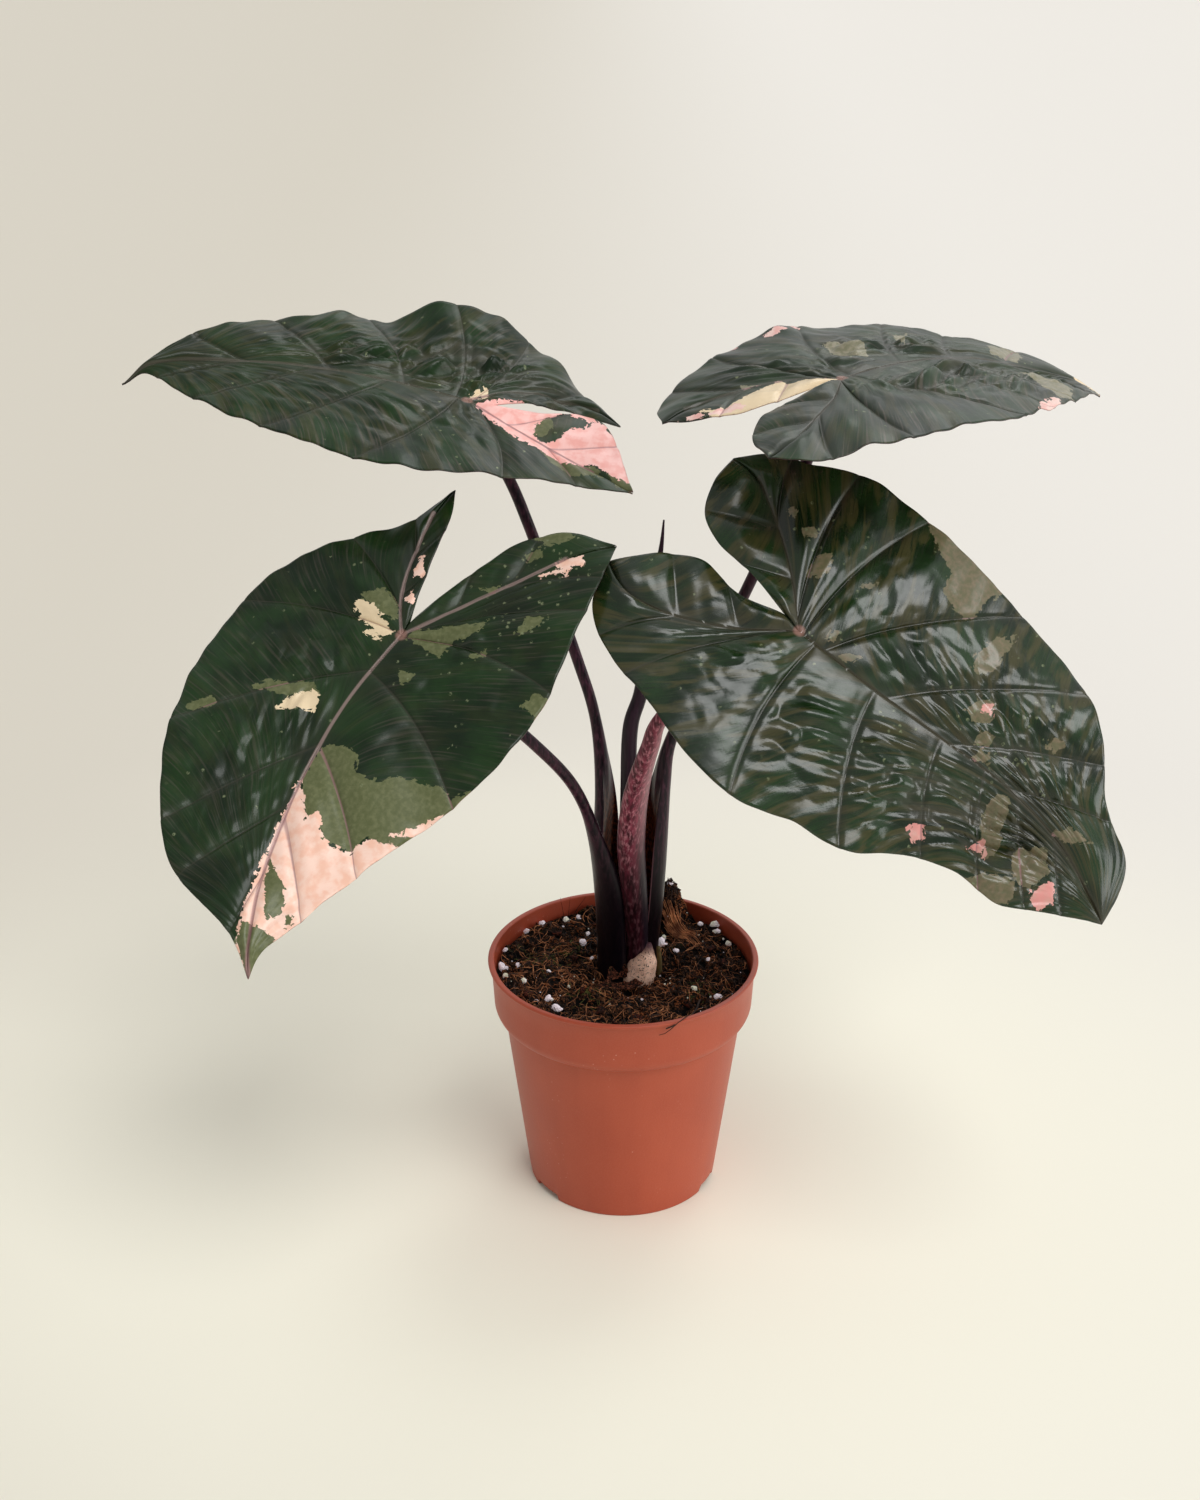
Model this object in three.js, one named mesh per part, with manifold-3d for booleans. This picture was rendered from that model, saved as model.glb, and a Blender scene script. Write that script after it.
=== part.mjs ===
// Potted Yucatan Princess alocasia: four heart-shaped leaves on dark petioles and one rolled
// new leaf, growing from a short stem in a round plastic nursery pot of potting mix.
// Millimetres, +Z up. The origin is the centre of the pot's underside, on the surface it
// stands on, and the plant's front faces -Y.

import * as THREE from "three";
import { mergeVertices } from "three/addons/utils/BufferGeometryUtils.js";
import Module from "manifold-3d";

const wasm = await Module();
wasm.setup();

// Pot: a 12 cm injection-moulded nursery pot.
const potHeight = 110;
const rimRadius = 60;
const rimThickness = 1.6;
const collarRadius = 57.5;
const collarHeight = 20;
const shoulderHeight = 6;
const bodyTopRadius = 53;
const baseRadius = 42.3;
const potWall = 1.2;
const footWidth = 2.6;
const footRounding = 0.7;
const rimInnerRadius = 57.4;
const rimRounding = 0.4;
const channelHeight = 3.6;
const plateRadius = 14;
const plateSlope = 1.5;
const floorRounding = 1;
const potSides = 48;
const notchWidth = 15;
const notchHeight = 3.3;
const notchDepth = 8;
const notchAngles = [-144, -24, 96];
const drainHoleRadius = 3;
const drainHoleCircle = 31;
const drainHoleCount = 9;

// Potting mix.
const soilLevel = 103;
const soilRings = [54.5, 51, 47.5, 44, 38, 32, 26, 20, 14, 8];
const soilDipDepth = 5.5;
const soilDipSpread = 22;
const clumpPlace = [21, 46];
const clumpHeight = 18;
const clumpSpread = 7;

// Plant.
const clearance = 0.3;
const beddingGap = 0.45;
const rootDepth = 90;
const bladeThickness = 0.9;
const keelDepth = 1.8;
const ribKeelDepth = 0.9;
const dripLength = 14;
const pillowHeight = 2.4;
const lobeColumns = 6;
const midribColumns = 14;
const bladeRows = 5;
const lobeShare = 0.3;
const sheathDent = 1.4;
const petioleGrain = [14, 18];
const spearGrain = [10, 14];
const stemGrain = [14, 6];

const colours = {
  pot: 0xa84a30,
  soil: 0x35231a,
  stem: 0xb3a283,
  petiole: 0x35202c,
  spear: 0x1d1420,
  blade: 0x1f2f22,
};

// Each leaf blade has a frame of its own: its origin where the petiole joins, u along the
// midrib to the tip, n out of the upper face, and v across. Outlines are u, v points. The
// bends are curvatures per metre, and the lifts are heights of the margin's waves at even
// steps from the lobe's point to the leaf's tip, and of the sinus edge from the notch.
const leaves = [
  {
    name: "a",
    junction: [-65, 34, 353],
    forward: [-0.98, 0.038, 0.196],
    upward: [0.179, -0.266, 0.947],
    bends: { midrib: 1.4, lobes: 1.1, across: 0.6, twist: -0.7 },
    midrib: [[0, 0], [30, -4], [60, -6], [90, -5], [115, -2], [132, 4], [141, 6]],
    halves: [
      {
        rib: [[0, 0], [-18, 12], [-38, 24], [-56, 34]],
        sinus: [[-10, 0], [-30, 1], [-48, 3], [-60, 14], [-68, 30], [-73, 44]],
        sinusLifts: [0, 3, 5, 4, 2],
        margin: [[-73, 44], [-60, 46], [-38, 48], [-12, 53], [15, 56], [42, 52], [68, 43],
          [92, 32], [115, 19], [131, 7], [141, 6]],
        marginLifts: [2, 1, 1, 2, 1, 0, 1, 0, 0, 0, 0],
      },
      {
        rib: [[0, 0], [-18, -16], [-38, -27], [-54, -32]],
        sinus: [[-10, 0], [-30, -5], [-50, -11], [-62, -20], [-71, -32]],
        sinusLifts: [0, -1, -4, -10, -14],
        margin: [[-71, -32], [-58, -44], [-38, -54], [-12, -61], [15, -62], [42, -57],
          [68, -48], [92, -37], [115, -20], [131, -1], [141, 6]],
        marginLifts: [-14, -13, -2, 8, 9, -4, 1, -1, 3, 3, 0],
      },
    ],
    drip: 7,
    petiole: {
      path: [[-5, 14, 120], [-7, 15, 155], [-8, 16, 185], [-13, 19, 220], [-20, 22, 243],
        [-41, 29, 303], [-48, 31, 320], [-65, 34, 353]],
      radius: [5, 2.4],
      sheath: { top: 0.47, width: 9, depth: 5.5 },
    },
  },
  {
    name: "b",
    junction: [-87, -58, 286],
    forward: [-0.485, -0.626, -0.61],
    upward: [-0.217, -0.59, 0.778],
    bends: { midrib: -0.5, lobes: 0.8, across: 0.6, twist: -1.5 },
    midrib: [[0, 0], [30, -4], [60, -3], [90, 2], [116, 9], [136, 18], [145, 22]],
    halves: [
      {
        rib: [[0, 0], [-16, 13], [-34, 28], [-54, 45]],
        sinus: [[-6, 0], [-22, 6], [-40, 15], [-56, 26], [-65, 42], [-67, 60]],
        sinusLifts: [0, 0, 1, 1, -2],
        margin: [[-67, 60], [-45, 63], [-20, 66], [2, 68], [26, 65], [50, 57], [76, 45],
          [100, 35], [122, 27], [136, 22], [145, 22]],
        marginLifts: [-2, 0, 2, 1, 1, 0, -2, 0, 0, 0, 0],
      },
      {
        rib: [[0, 0], [-16, -10], [-36, -16], [-54, -19]],
        sinus: [[-6, 0], [-25, -4], [-45, -8], [-58, -12], [-68, -18]],
        sinusLifts: [0, 2, 3, 1, -4],
        margin: [[-68, -18], [-50, -26], [-38, -38], [-22, -56], [2, -69], [28, -72],
          [54, -68], [80, -58], [104, -43], [122, -26], [135, 10], [145, 22]],
        marginLifts: [-4, -2, 1, 0, -2, -1, 1, 0, -2, 0, 0],
      },
    ],
    drip: 3,
    petiole: {
      path: [[-5, 5, 115], [-7, 0, 148], [-13, -9, 177], [-22, -22, 205], [-37, -35, 229],
        [-60, -47, 256], [-87, -58, 286]],
      radius: [5, 2.4],
      sheath: { top: 0.45, width: 9, depth: 5.5 },
    },
  },
  {
    name: "c",
    junction: [85, -2, 372],
    forward: [0.817, 0.573, 0.068],
    upward: [-0.023, -0.086, 0.996],
    bends: { midrib: 3.6, lobes: 4.4, across: 1.2, twist: 1.7 },
    midrib: [[0, 0], [34, 3], [70, 4], [100, 0], [125, -5], [140, -8]],
    halves: [
      {
        rib: [[0, 0], [-16, 14], [-36, 24], [-54, 31]],
        sinus: [[-8, 0], [-28, 1], [-46, 7], [-58, 17], [-66, 30]],
        sinusLifts: [0, 0, 0, 1, 2],
        margin: [[-66, 30], [-57, 45], [-36, 56], [-10, 61], [15, 61], [42, 55], [68, 44],
          [92, 31], [116, 17], [140, -8]],
        marginLifts: [2, -1, 0, 0, 2, -2, 0, -1, 0, 2, 0],
      },
      {
        rib: [[0, 0], [-16, -14], [-36, -25], [-54, -35]],
        sinus: [[-8, 0], [-30, -3], [-48, -8], [-61, -20], [-68, -38]],
        sinusLifts: [0, 0, 1, 2, 3],
        margin: [[-68, -38], [-57, -50], [-36, -57], [-10, -61], [15, -61], [42, -56],
          [68, -46], [92, -35], [116, -23], [140, -8]],
        marginLifts: [3, -1, 0, 0, 1, 0, 0, 0, 1, 2, 0],
      },
    ],
    drip: 0,
    petiole: {
      path: [[8, 12, 106], [10, 11, 132], [12, 10, 162], [16, 9, 192], [20, 7, 212],
        [50, 2, 282], [85, -2, 372]],
      radius: [5, 2.4],
      sheath: { top: 0.42, width: 9, depth: 5.5 },
    },
  },
  {
    name: "d",
    junction: [66, -64, 290],
    forward: [0.771, -0.405, -0.491],
    upward: [0.054, -0.727, 0.685],
    bends: { midrib: 1.4, lobes: 0.6, across: 1.7, twist: 0.6 },
    midrib: [[0, 0], [32, 0], [66, 2], [98, 4], [130, 0], [150, -8], [158, -11]],
    halves: [
      {
        rib: [[0, 0], [-18, 18], [-36, 32], [-52, 42]],
        sinus: [[-8, 2], [-28, 7], [-46, 9], [-58, 15], [-65, 30], [-66, 44]],
        sinusLifts: [0, 0, 0, -1, -2],
        margin: [[-66, 44], [-56, 55], [-40, 62], [-22, 70], [5, 73], [34, 69], [64, 64],
          [95, 57], [114, 44], [132, 26], [149, 12], [158, -11]],
        marginLifts: [-2, -1, 2, -2, 0, -2, -3, 2, 0, -1, 0],
      },
      {
        rib: [[0, 0], [-18, -14], [-40, -26], [-62, -32]],
        sinus: [[-8, 2], [-28, -3], [-46, -1], [-60, -8], [-74, -25]],
        sinusLifts: [0, 0, 0, 0, 1],
        margin: [[-74, -25], [-68, -42], [-52, -53], [-30, -58], [-4, -66], [21, -68],
          [44, -60], [67, -55], [84, -41], [104, -33], [122, -32], [140, -22], [158, -11]],
        marginLifts: [1, -2, -1, 2, 4, 0, 0, -3, -3, 0, 0],
      },
    ],
    drip: 1,
    petiole: {
      path: [[6, 3, 111], [5, -1, 138], [3, -7, 171], [5, -17, 200], [10, -30, 226],
        [15, -38, 243], [66, -64, 290]],
      radius: [5, 2.6],
      sheath: { top: 0.5, width: 8, depth: 5 },
    },
  },
];

const spearPath = [[1, 10, 95], [1, 10, 132], [2, 10, 182], [3, 10, 218], [7, 11, 232],
  [10, 12, 265], [15, 12, 296], [16, 12, 309]];
const spearRadii = [3.6, 3.6, 3.6, 3.5, 3.3, 2.6, 1.7, 0.4];
const stemPath = [[7, 5, 84], [7, 4, 98], [8, 4, 114]];
const stemRadii = [6, 7.5, 6];

const vector = (point) => new THREE.Vector3(...point);
const mix = THREE.MathUtils.lerp;
const degrees = THREE.MathUtils.degToRad;

// A geometry's vertices moved by a function of their place.
function warped(geometry, place) {
  const position = geometry.attributes.position;
  const point = new THREE.Vector3();
  for (let i = 0; i < position.count; i += 1) {
    point.fromBufferAttribute(position, i);
    position.setXYZ(i, ...place(point).toArray());
  }
  return geometry;
}

// A closed solid from a geometry whose faces point out.
function solidOf(geometry) {
  for (const name of ["normal", "uv"]) {
    geometry.deleteAttribute(name);
  }
  const merged = mergeVertices(geometry, 1e-3);
  const corners = merged.index.array;
  const triangles = [];
  for (let i = 0; i < corners.length; i += 3) {
    const [a, b, c] = corners.slice(i, i + 3);
    if (a !== b && b !== c && c !== a) {
      triangles.push(a, b, c);
    }
  }
  return new wasm.Manifold(new wasm.Mesh({
    numProp: 3,
    vertProperties: new Float32Array(merged.attributes.position.array),
    triVerts: new Uint32Array(triangles),
  }));
}

// What is left of a solid after its neighbours are cut from it, without loose scraps.
function cutBy(solid, neighbours) {
  const rest = neighbours.reduce((left, neighbour) => left.subtract(neighbour), solid);
  return rest.decompose().reduce((big, piece) => (piece.volume() > big.volume() ? piece : big));
}

function curveOf(points) {
  const flat = points[0].length === 2;
  const places = points.map((point) => vector(flat ? [...point, 0] : point));
  return new THREE.CatmullRomCurve3(places, false, "centripetal");
}

// The value at a share of the way through an evenly spaced list.
function valueAt(list, share) {
  const step = share * (list.length - 1);
  const i = Math.min(Math.floor(step), list.length - 2);
  return mix(list[i], list[i + 1], step - i);
}

// Pot: the outer line from the axis up to the rim, and the inner line back down.
function shoulder(inset) {
  const steps = [0, 1, 2, 3, 4];
  return steps.map((step) => {
    const turn = (step / 4) * (Math.PI / 2);
    const radius = mix(bodyTopRadius, collarRadius, Math.sin(turn)) - inset;
    const height = potHeight - collarHeight - shoulderHeight * Math.cos(turn);
    return [radius, height];
  });
}

function lathe(profile, sides) {
  const points = profile.map(([radius, height]) => new THREE.Vector2(radius, height));
  return new THREE.LatheGeometry(points, sides).rotateX(Math.PI / 2);
}

function potSolid() {
  const floorTop = channelHeight + potWall;
  const profile = [
    [0, 0],
    [plateRadius, 0],
    [plateRadius + plateSlope, channelHeight],
    [baseRadius - footWidth, channelHeight],
    [baseRadius - footWidth, 0],
    [baseRadius - footRounding, 0],
    [baseRadius, footRounding],
    ...shoulder(0),
    [collarRadius + 1, potHeight - rimThickness - 2 * rimRounding],
    [rimRadius - rimRounding, potHeight - rimThickness],
    [rimRadius, potHeight - rimThickness / 2],
    [rimRadius - rimRounding, potHeight],
    [rimInnerRadius, potHeight],
    ...shoulder(potWall).reverse(),
    [baseRadius - potWall, floorTop + floorRounding],
    [baseRadius - potWall - floorRounding, floorTop],
    [plateRadius + plateSlope + potWall, floorTop],
    [plateRadius + potWall, potWall],
    [0, potWall],
  ];
  const cuts = notchAngles.map((angle) => {
    const notch = new THREE.BoxGeometry(notchDepth, notchWidth, 2 * notchHeight);
    return solidOf(notch.translate(baseRadius, 0, 0).rotateZ(degrees(angle)));
  });
  for (let hole = 0; hole < drainHoleCount; hole += 1) {
    const drill = new THREE.CylinderGeometry(drainHoleRadius, drainHoleRadius, 3 * potWall, 10);
    drill.rotateX(Math.PI / 2).translate(drainHoleCircle, 0, channelHeight + potWall / 2);
    cuts.push(solidOf(drill.rotateZ((hole * 2 * Math.PI) / drainHoleCount)));
  }
  return cutBy(solidOf(lathe(profile, potSides)), cuts);
}

// Potting mix: it fills the pot to its wall, with an uneven top and one raised clump.
function soilBump(x, y) {
  const uneven = 1.1 * Math.sin(x / 6.1 + 1) * Math.cos(y / 5.3) + 0.8 * Math.sin((x - y) / 3.7);
  const dip = -soilDipDepth * Math.exp(-(x * x + y * y) / soilDipSpread ** 2);
  const [clumpX, clumpY] = clumpPlace;
  const reach = ((x - clumpX) ** 2 + (y - clumpY) ** 2) / clumpSpread ** 2;
  return uneven + dip + clumpHeight * Math.exp(-reach);
}

function soilSolid(holes) {
  const gap = potWall + clearance;
  const floor = channelHeight + gap;
  const wallTop = collarRadius - gap;
  const profile = [
    [0, gap],
    [plateRadius + potWall - clearance, gap],
    [plateRadius + plateSlope + gap, floor],
    [baseRadius - gap - floorRounding, floor],
    [baseRadius - gap, floor + floorRounding],
    ...shoulder(gap),
    [wallTop, soilLevel],
    ...soilRings.map((radius) => [radius, soilLevel]),
    [0, soilLevel],
  ];
  const plug = warped(lathe(profile, potSides), (point) => {
    const inside = Math.hypot(point.x, point.y) < wallTop - 1;
    if (inside && point.z > soilLevel - 1) {
      point.z += soilBump(point.x, point.y);
    }
    return point;
  });
  return cutBy(solidOf(plug), holes);
}

// Leaf blade: a grid on each side of the lobe's rib and of the midrib, whose columns follow
// the lateral veins. It is pillowed between them, grooved on them, and waved at the margin.
function bladeSolid(leaf, spare) {
  const forward = vector(leaf.forward).normalize();
  const upward = vector(leaf.upward);
  upward.addScaledVector(forward, -upward.dot(forward)).normalize();
  const across = upward.clone().cross(forward);
  const junction = vector(leaf.junction);
  const tipLength = leaf.midrib.at(-1)[0];
  const corners = [];

  function place(u, v, lift) {
    const { midrib, lobes, across: bow, twist } = leaf.bends;
    const bend = -0.5 * (u > 0 ? midrib : lobes) * u * u - 0.5 * bow * v * v + twist * u * v;
    const reach = THREE.MathUtils.smoothstep(u, tipLength - dripLength, tipLength);
    const drip = -leaf.drip * reach ** 2;
    return junction.clone()
      .addScaledVector(forward, u)
      .addScaledVector(across, v)
      .addScaledVector(upward, bend / 1000 + drip + lift);
  }

  function addPatch(inner, outer, columns, lifts, keels, side) {
    const grid = [];
    for (let column = 0; column <= columns; column += 1) {
      const root = inner(column);
      const edge = outer(column);
      grid.push([]);
      for (let row = 0; row <= bladeRows; row += 1) {
        const share = row / bladeRows;
        const point = root.clone().lerp(edge, share);
        const pillow = column % 2 ? pillowHeight * Math.sin(Math.PI * share ** 0.8) : 0;
        const middle = place(point.x, point.y, pillow + lifts(column) * share ** 2);
        const keel = row === 0 ? keels(column) : 0;
        grid[column].push([
          middle.clone().addScaledVector(upward, bladeThickness / 2 + spare),
          middle.clone().addScaledVector(upward, -bladeThickness / 2 - spare - keel),
        ]);
      }
    }
    const addQuad = (a, b, c, d) => {
      const loop = side > 0 ? [a, b, c, a, c, d] : [a, c, b, a, d, c];
      loop.forEach((corner) => corners.push(...corner.toArray()));
    };
    for (let column = 0; column < columns; column += 1) {
      const [here, next] = [grid[column], grid[column + 1]];
      for (let row = 0; row < bladeRows; row += 1) {
        addQuad(here[row][0], next[row][0], next[row + 1][0], here[row + 1][0]);
        addQuad(here[row][1], here[row + 1][1], next[row + 1][1], next[row][1]);
      }
      const [a, b] = [here[bladeRows], next[bladeRows]];
      addQuad(a[0], b[0], b[1], a[1]);
    }
  }

  const midrib = curveOf(leaf.midrib);
  leaf.halves.forEach((half, index) => {
    const side = index === 0 ? 1 : -1;
    const rib = curveOf(half.rib);
    const sinus = curveOf(half.sinus);
    const margin = curveOf(half.margin);
    const columns = lobeColumns + midribColumns;
    const marginShare = (column) => (column < lobeColumns
      ? (lobeShare * column) / lobeColumns
      : mix(lobeShare, 1, (column - lobeColumns) / midribColumns));
    const spine = (column) => (column < lobeColumns
      ? rib.getPointAt(1 - column / lobeColumns)
      : midrib.getPointAt((column - lobeColumns) / midribColumns));
    const spineKeel = (column) => (column < lobeColumns
      ? ribKeelDepth * (column / lobeColumns)
      : keelDepth * (1 - (column - lobeColumns) / midribColumns));
    addPatch(
      spine,
      (column) => margin.getPointAt(marginShare(column)),
      columns,
      (column) => valueAt(half.marginLifts, marginShare(column)),
      spineKeel,
      side,
    );
    addPatch(
      (column) => rib.getPointAt(column / lobeColumns),
      (column) => sinus.getPointAt(column / lobeColumns),
      lobeColumns,
      (column) => valueAt(half.sinusLifts, column / lobeColumns),
      (column) => spineKeel(lobeColumns - column),
      side,
    );
  });
  const geometry = new THREE.BufferGeometry();
  geometry.setAttribute("position", new THREE.Float32BufferAttribute(corners, 3));
  return solidOf(geometry);
}

// A tapered stalk along a path, with a section that is given as a depth and a width at an
// angle. The angle is measured from the stalk's back, which looks away from the plant's
// middle. With some spare around it, as the room that it takes in a neighbour, its foot is
// lower too.
function stalk(path, [sides, steps], back, spare, section) {
  const curve = curveOf(path);
  const bar = new THREE.CylinderGeometry(1, 1, 1, sides, steps);
  return solidOf(warped(bar, (point) => {
    const share = point.y + 0.5;
    const reach = Math.hypot(point.x, point.z);
    const angle = Math.atan2(point.x, point.z);
    const tangent = curve.getTangentAt(share);
    const outward = back.clone().addScaledVector(tangent, -back.dot(tangent)).normalize();
    const sideways = tangent.clone().cross(outward);
    const [depth, width] = section(share, angle);
    const middle = curve.getPointAt(share);
    middle.z -= share < 1e-6 ? 5 * spare : 0;
    return middle
      .addScaledVector(outward, reach * (depth + spare * Math.cos(angle)))
      .addScaledVector(sideways, reach * (width + spare * Math.sin(angle)));
  }));
}

function roundStalk(path, radii, grain, spare) {
  return stalk(path, grain, vector([0, -1, 0]), spare, (share, angle) => {
    const radius = valueAt(radii, share);
    return [radius * Math.cos(angle), radius * Math.sin(angle)];
  });
}

// Petiole: round above, and widened below into a sheath that is hollow towards the middle.
function petioleSolid(leaf, spare) {
  const { path, radius, sheath } = leaf.petiole;
  const [x, y] = leaf.junction;
  const foot = [path[0][0], path[0][1], rootDepth];
  const last = vector(path.at(-1));
  const beyond = last.clone().sub(vector(path.at(-2))).setLength(4).add(last);
  const line = [foot, ...path.slice(0, -1), beyond.toArray()];
  const back = vector([x, y, 0]).normalize();
  return stalk(line, petioleGrain, back, spare, (share, angle) => {
    const round = mix(...radius, Math.min(share / sheath.top, 1));
    const flare = 1 - THREE.MathUtils.smoothstep(share, sheath.top * 0.45, sheath.top);
    const hollow = flare * THREE.MathUtils.smoothstep(share, 0.05, sheath.top * 0.4);
    const depth = mix(round, sheath.depth, flare);
    const width = mix(round, sheath.width, flare);
    const inward = Math.min(Math.cos(angle), 0);
    const dent = sheathDent * hollow * inward * inward;
    return [depth * (Math.cos(angle) + dent), width * Math.sin(angle)];
  });
}

// The plant is put together from its middle outwards, and each piece leaves room for those
// inside it.
const byName = Object.fromEntries(leaves.map((leaf) => [leaf.name, leaf]));
const spearOf = (spare) => roundStalk(spearPath, spearRadii, spearGrain, spare);
const stemOf = (spare) => roundStalk(stemPath, stemRadii, stemGrain, spare);
const bedded = [spearOf(beddingGap)];
const petioles = {};
for (const name of ["d", "a", "c", "b"]) {
  const leaf = byName[name];
  petioles[name] = cutBy(petioleSolid(leaf, 0), [...bedded, bladeSolid(leaf, clearance)]);
  bedded.push(petioleSolid(leaf, beddingGap));
}
const stemSolid = cutBy(stemOf(0), bedded);

const plant = new THREE.Group();

function addPiece(name, solid, colour, roughness) {
  const { vertProperties, triVerts } = solid.getMesh();
  const geometry = new THREE.BufferGeometry();
  geometry.setAttribute("position", new THREE.BufferAttribute(vertProperties, 3));
  geometry.setIndex(new THREE.BufferAttribute(triVerts, 1));
  geometry.computeVertexNormals();
  const material = new THREE.MeshStandardMaterial({ color: colour, roughness, metalness: 0 });
  const piece = new THREE.Mesh(geometry, material);
  piece.name = name;
  plant.add(piece);
}

addPiece("pot", potSolid(), colours.pot, 0.45);
addPiece("soil", soilSolid([...bedded, stemOf(clearance)]), colours.soil, 0.95);
addPiece("stem_base", stemSolid, colours.stem, 0.8);
addPiece("spear", spearOf(0), colours.spear, 0.35);
for (const leaf of leaves) {
  addPiece(`petiole_${leaf.name}`, petioles[leaf.name], colours.petiole, 0.35);
  addPiece(`blade_${leaf.name}`, bladeSolid(leaf, 0), colours.blade, 0.3);
}

export default plant;
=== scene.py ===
# Potted alocasia with dark, part pink heart-shaped leaves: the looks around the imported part.
# The plant's sizes are in millimetres until a piece is finished, and the studio's in metres.
# Angles are in degrees.

import math
import random

import bmesh
import bpy
import numpy as np
from mathutils import Matrix, Vector, noise


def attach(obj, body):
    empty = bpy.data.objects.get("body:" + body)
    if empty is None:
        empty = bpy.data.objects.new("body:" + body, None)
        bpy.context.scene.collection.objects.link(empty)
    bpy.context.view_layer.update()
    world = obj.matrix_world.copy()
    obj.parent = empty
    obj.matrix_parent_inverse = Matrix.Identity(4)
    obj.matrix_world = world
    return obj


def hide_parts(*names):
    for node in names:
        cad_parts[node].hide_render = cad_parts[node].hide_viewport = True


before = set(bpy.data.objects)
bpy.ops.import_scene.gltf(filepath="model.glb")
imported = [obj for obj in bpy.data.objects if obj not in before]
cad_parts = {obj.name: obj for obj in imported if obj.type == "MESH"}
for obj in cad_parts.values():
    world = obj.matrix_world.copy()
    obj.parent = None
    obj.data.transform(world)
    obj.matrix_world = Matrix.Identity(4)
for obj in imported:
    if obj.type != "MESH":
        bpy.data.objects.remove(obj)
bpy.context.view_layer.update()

# Camera: it stands 85 cm in front of the plant's middle and looks down on it, as in the
# photograph, through a lens a little longer than a normal one.
image_height = 1500
focal_length_px = 2200
sensor_width = 36
camera_place = (-0.0103, -0.8487, 0.6025)
camera_pitch = 24.8


def placed(name, data):
    """An object with that data, at the origin."""
    made = bpy.data.objects.new(name, data)
    bpy.context.scene.collection.objects.link(made)
    return made


camera_data = bpy.data.cameras.new("camera")
camera_data.sensor_width = sensor_width
camera_data.lens = sensor_width * focal_length_px / image_height
camera = placed("camera", camera_data)
camera.location = camera_place
camera.rotation_euler = (math.radians(90 - camera_pitch), 0, 0)
bpy.context.scene.camera = camera
bpy.context.scene.view_settings.view_transform = "Standard"


# Floor and light: a pale paper floor that runs out of the picture, with painted light in its
# colour: lighter on the right, as if lit from there, and lighter near the pot, over the shade
# that the plant casts. Pale walls, and three soft lights: one overhead, one behind the plant
# like a window, and one low at the right.
def paint(red, green, blue):
    """A linear colour from the 0 to 255 values that a screen shows."""
    shown = [value / 255 for value in (red, green, blue)]
    linear = [v / 12.92 if v <= 0.04045 else ((v + 0.055) / 1.055) ** 2.4 for v in shown]
    return (*linear, 1)


class Socket:
    """An output in a material. Sums written with it add Math nodes to that material."""

    def __init__(self, finish, output):
        self.finish = finish
        self.output = output

    def math(self, operation, *values):
        return self.finish.node("ShaderNodeMath", {"operation": operation},
                                dict(enumerate(values)))

    def __add__(self, other):
        return self.math("ADD", self, other)

    def __radd__(self, other):
        return self.math("ADD", other, self)

    def __sub__(self, other):
        return self.math("SUBTRACT", self, other)

    def __rsub__(self, other):
        return self.math("SUBTRACT", other, self)

    def __mul__(self, other):
        return self.math("MULTIPLY", self, other)

    def __rmul__(self, other):
        return self.math("MULTIPLY", other, self)

    def rise(self, low, high):
        """0 below low and 1 above high, with a smooth step between them."""
        return self.finish.node("ShaderNodeMapRange", {"interpolation_type": "SMOOTHSTEP"},
                                {"Value": self, "From Min": low, "From Max": high})

    def bell(self, width):
        """1 where the value is 0, falling off over that width on both sides."""
        share = self * (1 / width)
        return self.math("EXPONENT", share * share * -1)


class Finish:
    """A material: its shader's steady values, and the nodes that feed the rest."""

    def __init__(self, name, steady):
        self.material = bpy.data.materials.new(name)
        self.material.use_nodes = True
        self.tree = self.material.node_tree
        self.shader = self.tree.nodes["Principled BSDF"]
        self.feed(self.shader, steady)

    def feed(self, node, values):
        for name, value in values.items():
            if isinstance(value, Socket):
                self.tree.links.new(value.output, node.inputs[name])
            else:
                node.inputs[name].default_value = value

    def node(self, kind, settings, values, output=0):
        made = self.tree.nodes.new(kind)
        for name, value in settings.items():
            setattr(made, name, value)
        self.feed(made, values)
        return Socket(self, made.outputs[output])

    def place(self):
        return self.node("ShaderNodeTexCoord", {}, {}, "Object")

    def value(self, attribute):
        return self.node("ShaderNodeAttribute", {"attribute_name": attribute}, {}, "Fac")

    def stretched(self, place, scale):
        return self.node("ShaderNodeMapping", {}, {"Vector": place, "Scale": scale})

    def cloud(self, place, scale, detail=3, distortion=0):
        return self.node("ShaderNodeTexNoise", {}, {
            "Vector": place, "Scale": scale, "Detail": detail, "Distortion": distortion})

    def cells(self, place, scale, output="Distance"):
        found = self.node("ShaderNodeTexVoronoi", {}, {"Vector": place, "Scale": scale}, output)
        if output == "Color":
            return self.node("ShaderNodeSeparateColor", {}, {0: found})
        return found

    def layers(self, under, *coats):
        """A colour with coats over it, each with the share that it covers. A colour is a
        socket or the three values, 0 to 255, that a screen shows."""
        for share, over in coats:
            under, over = (paint(*c) if isinstance(c, tuple) else c for c in (under, over))
            under = self.node("ShaderNodeMix", {"data_type": "RGBA"},
                              {0: share, 6: under, 7: over}, 2)
        return under

    def relief(self, height, distance, strength=1):
        return self.node("ShaderNodeBump", {}, {
            "Height": height, "Distance": distance, "Strength": strength})


def meshed(name, shape, scale):
    """An object whose mesh is the shape, brought to metres by the scale."""
    bmesh.ops.scale(shape, vec=Vector((scale, scale, scale)), verts=shape.verts[:])
    mesh = bpy.data.meshes.new(name)
    shape.to_mesh(mesh)
    shape.free()
    return placed(name, mesh)


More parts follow.
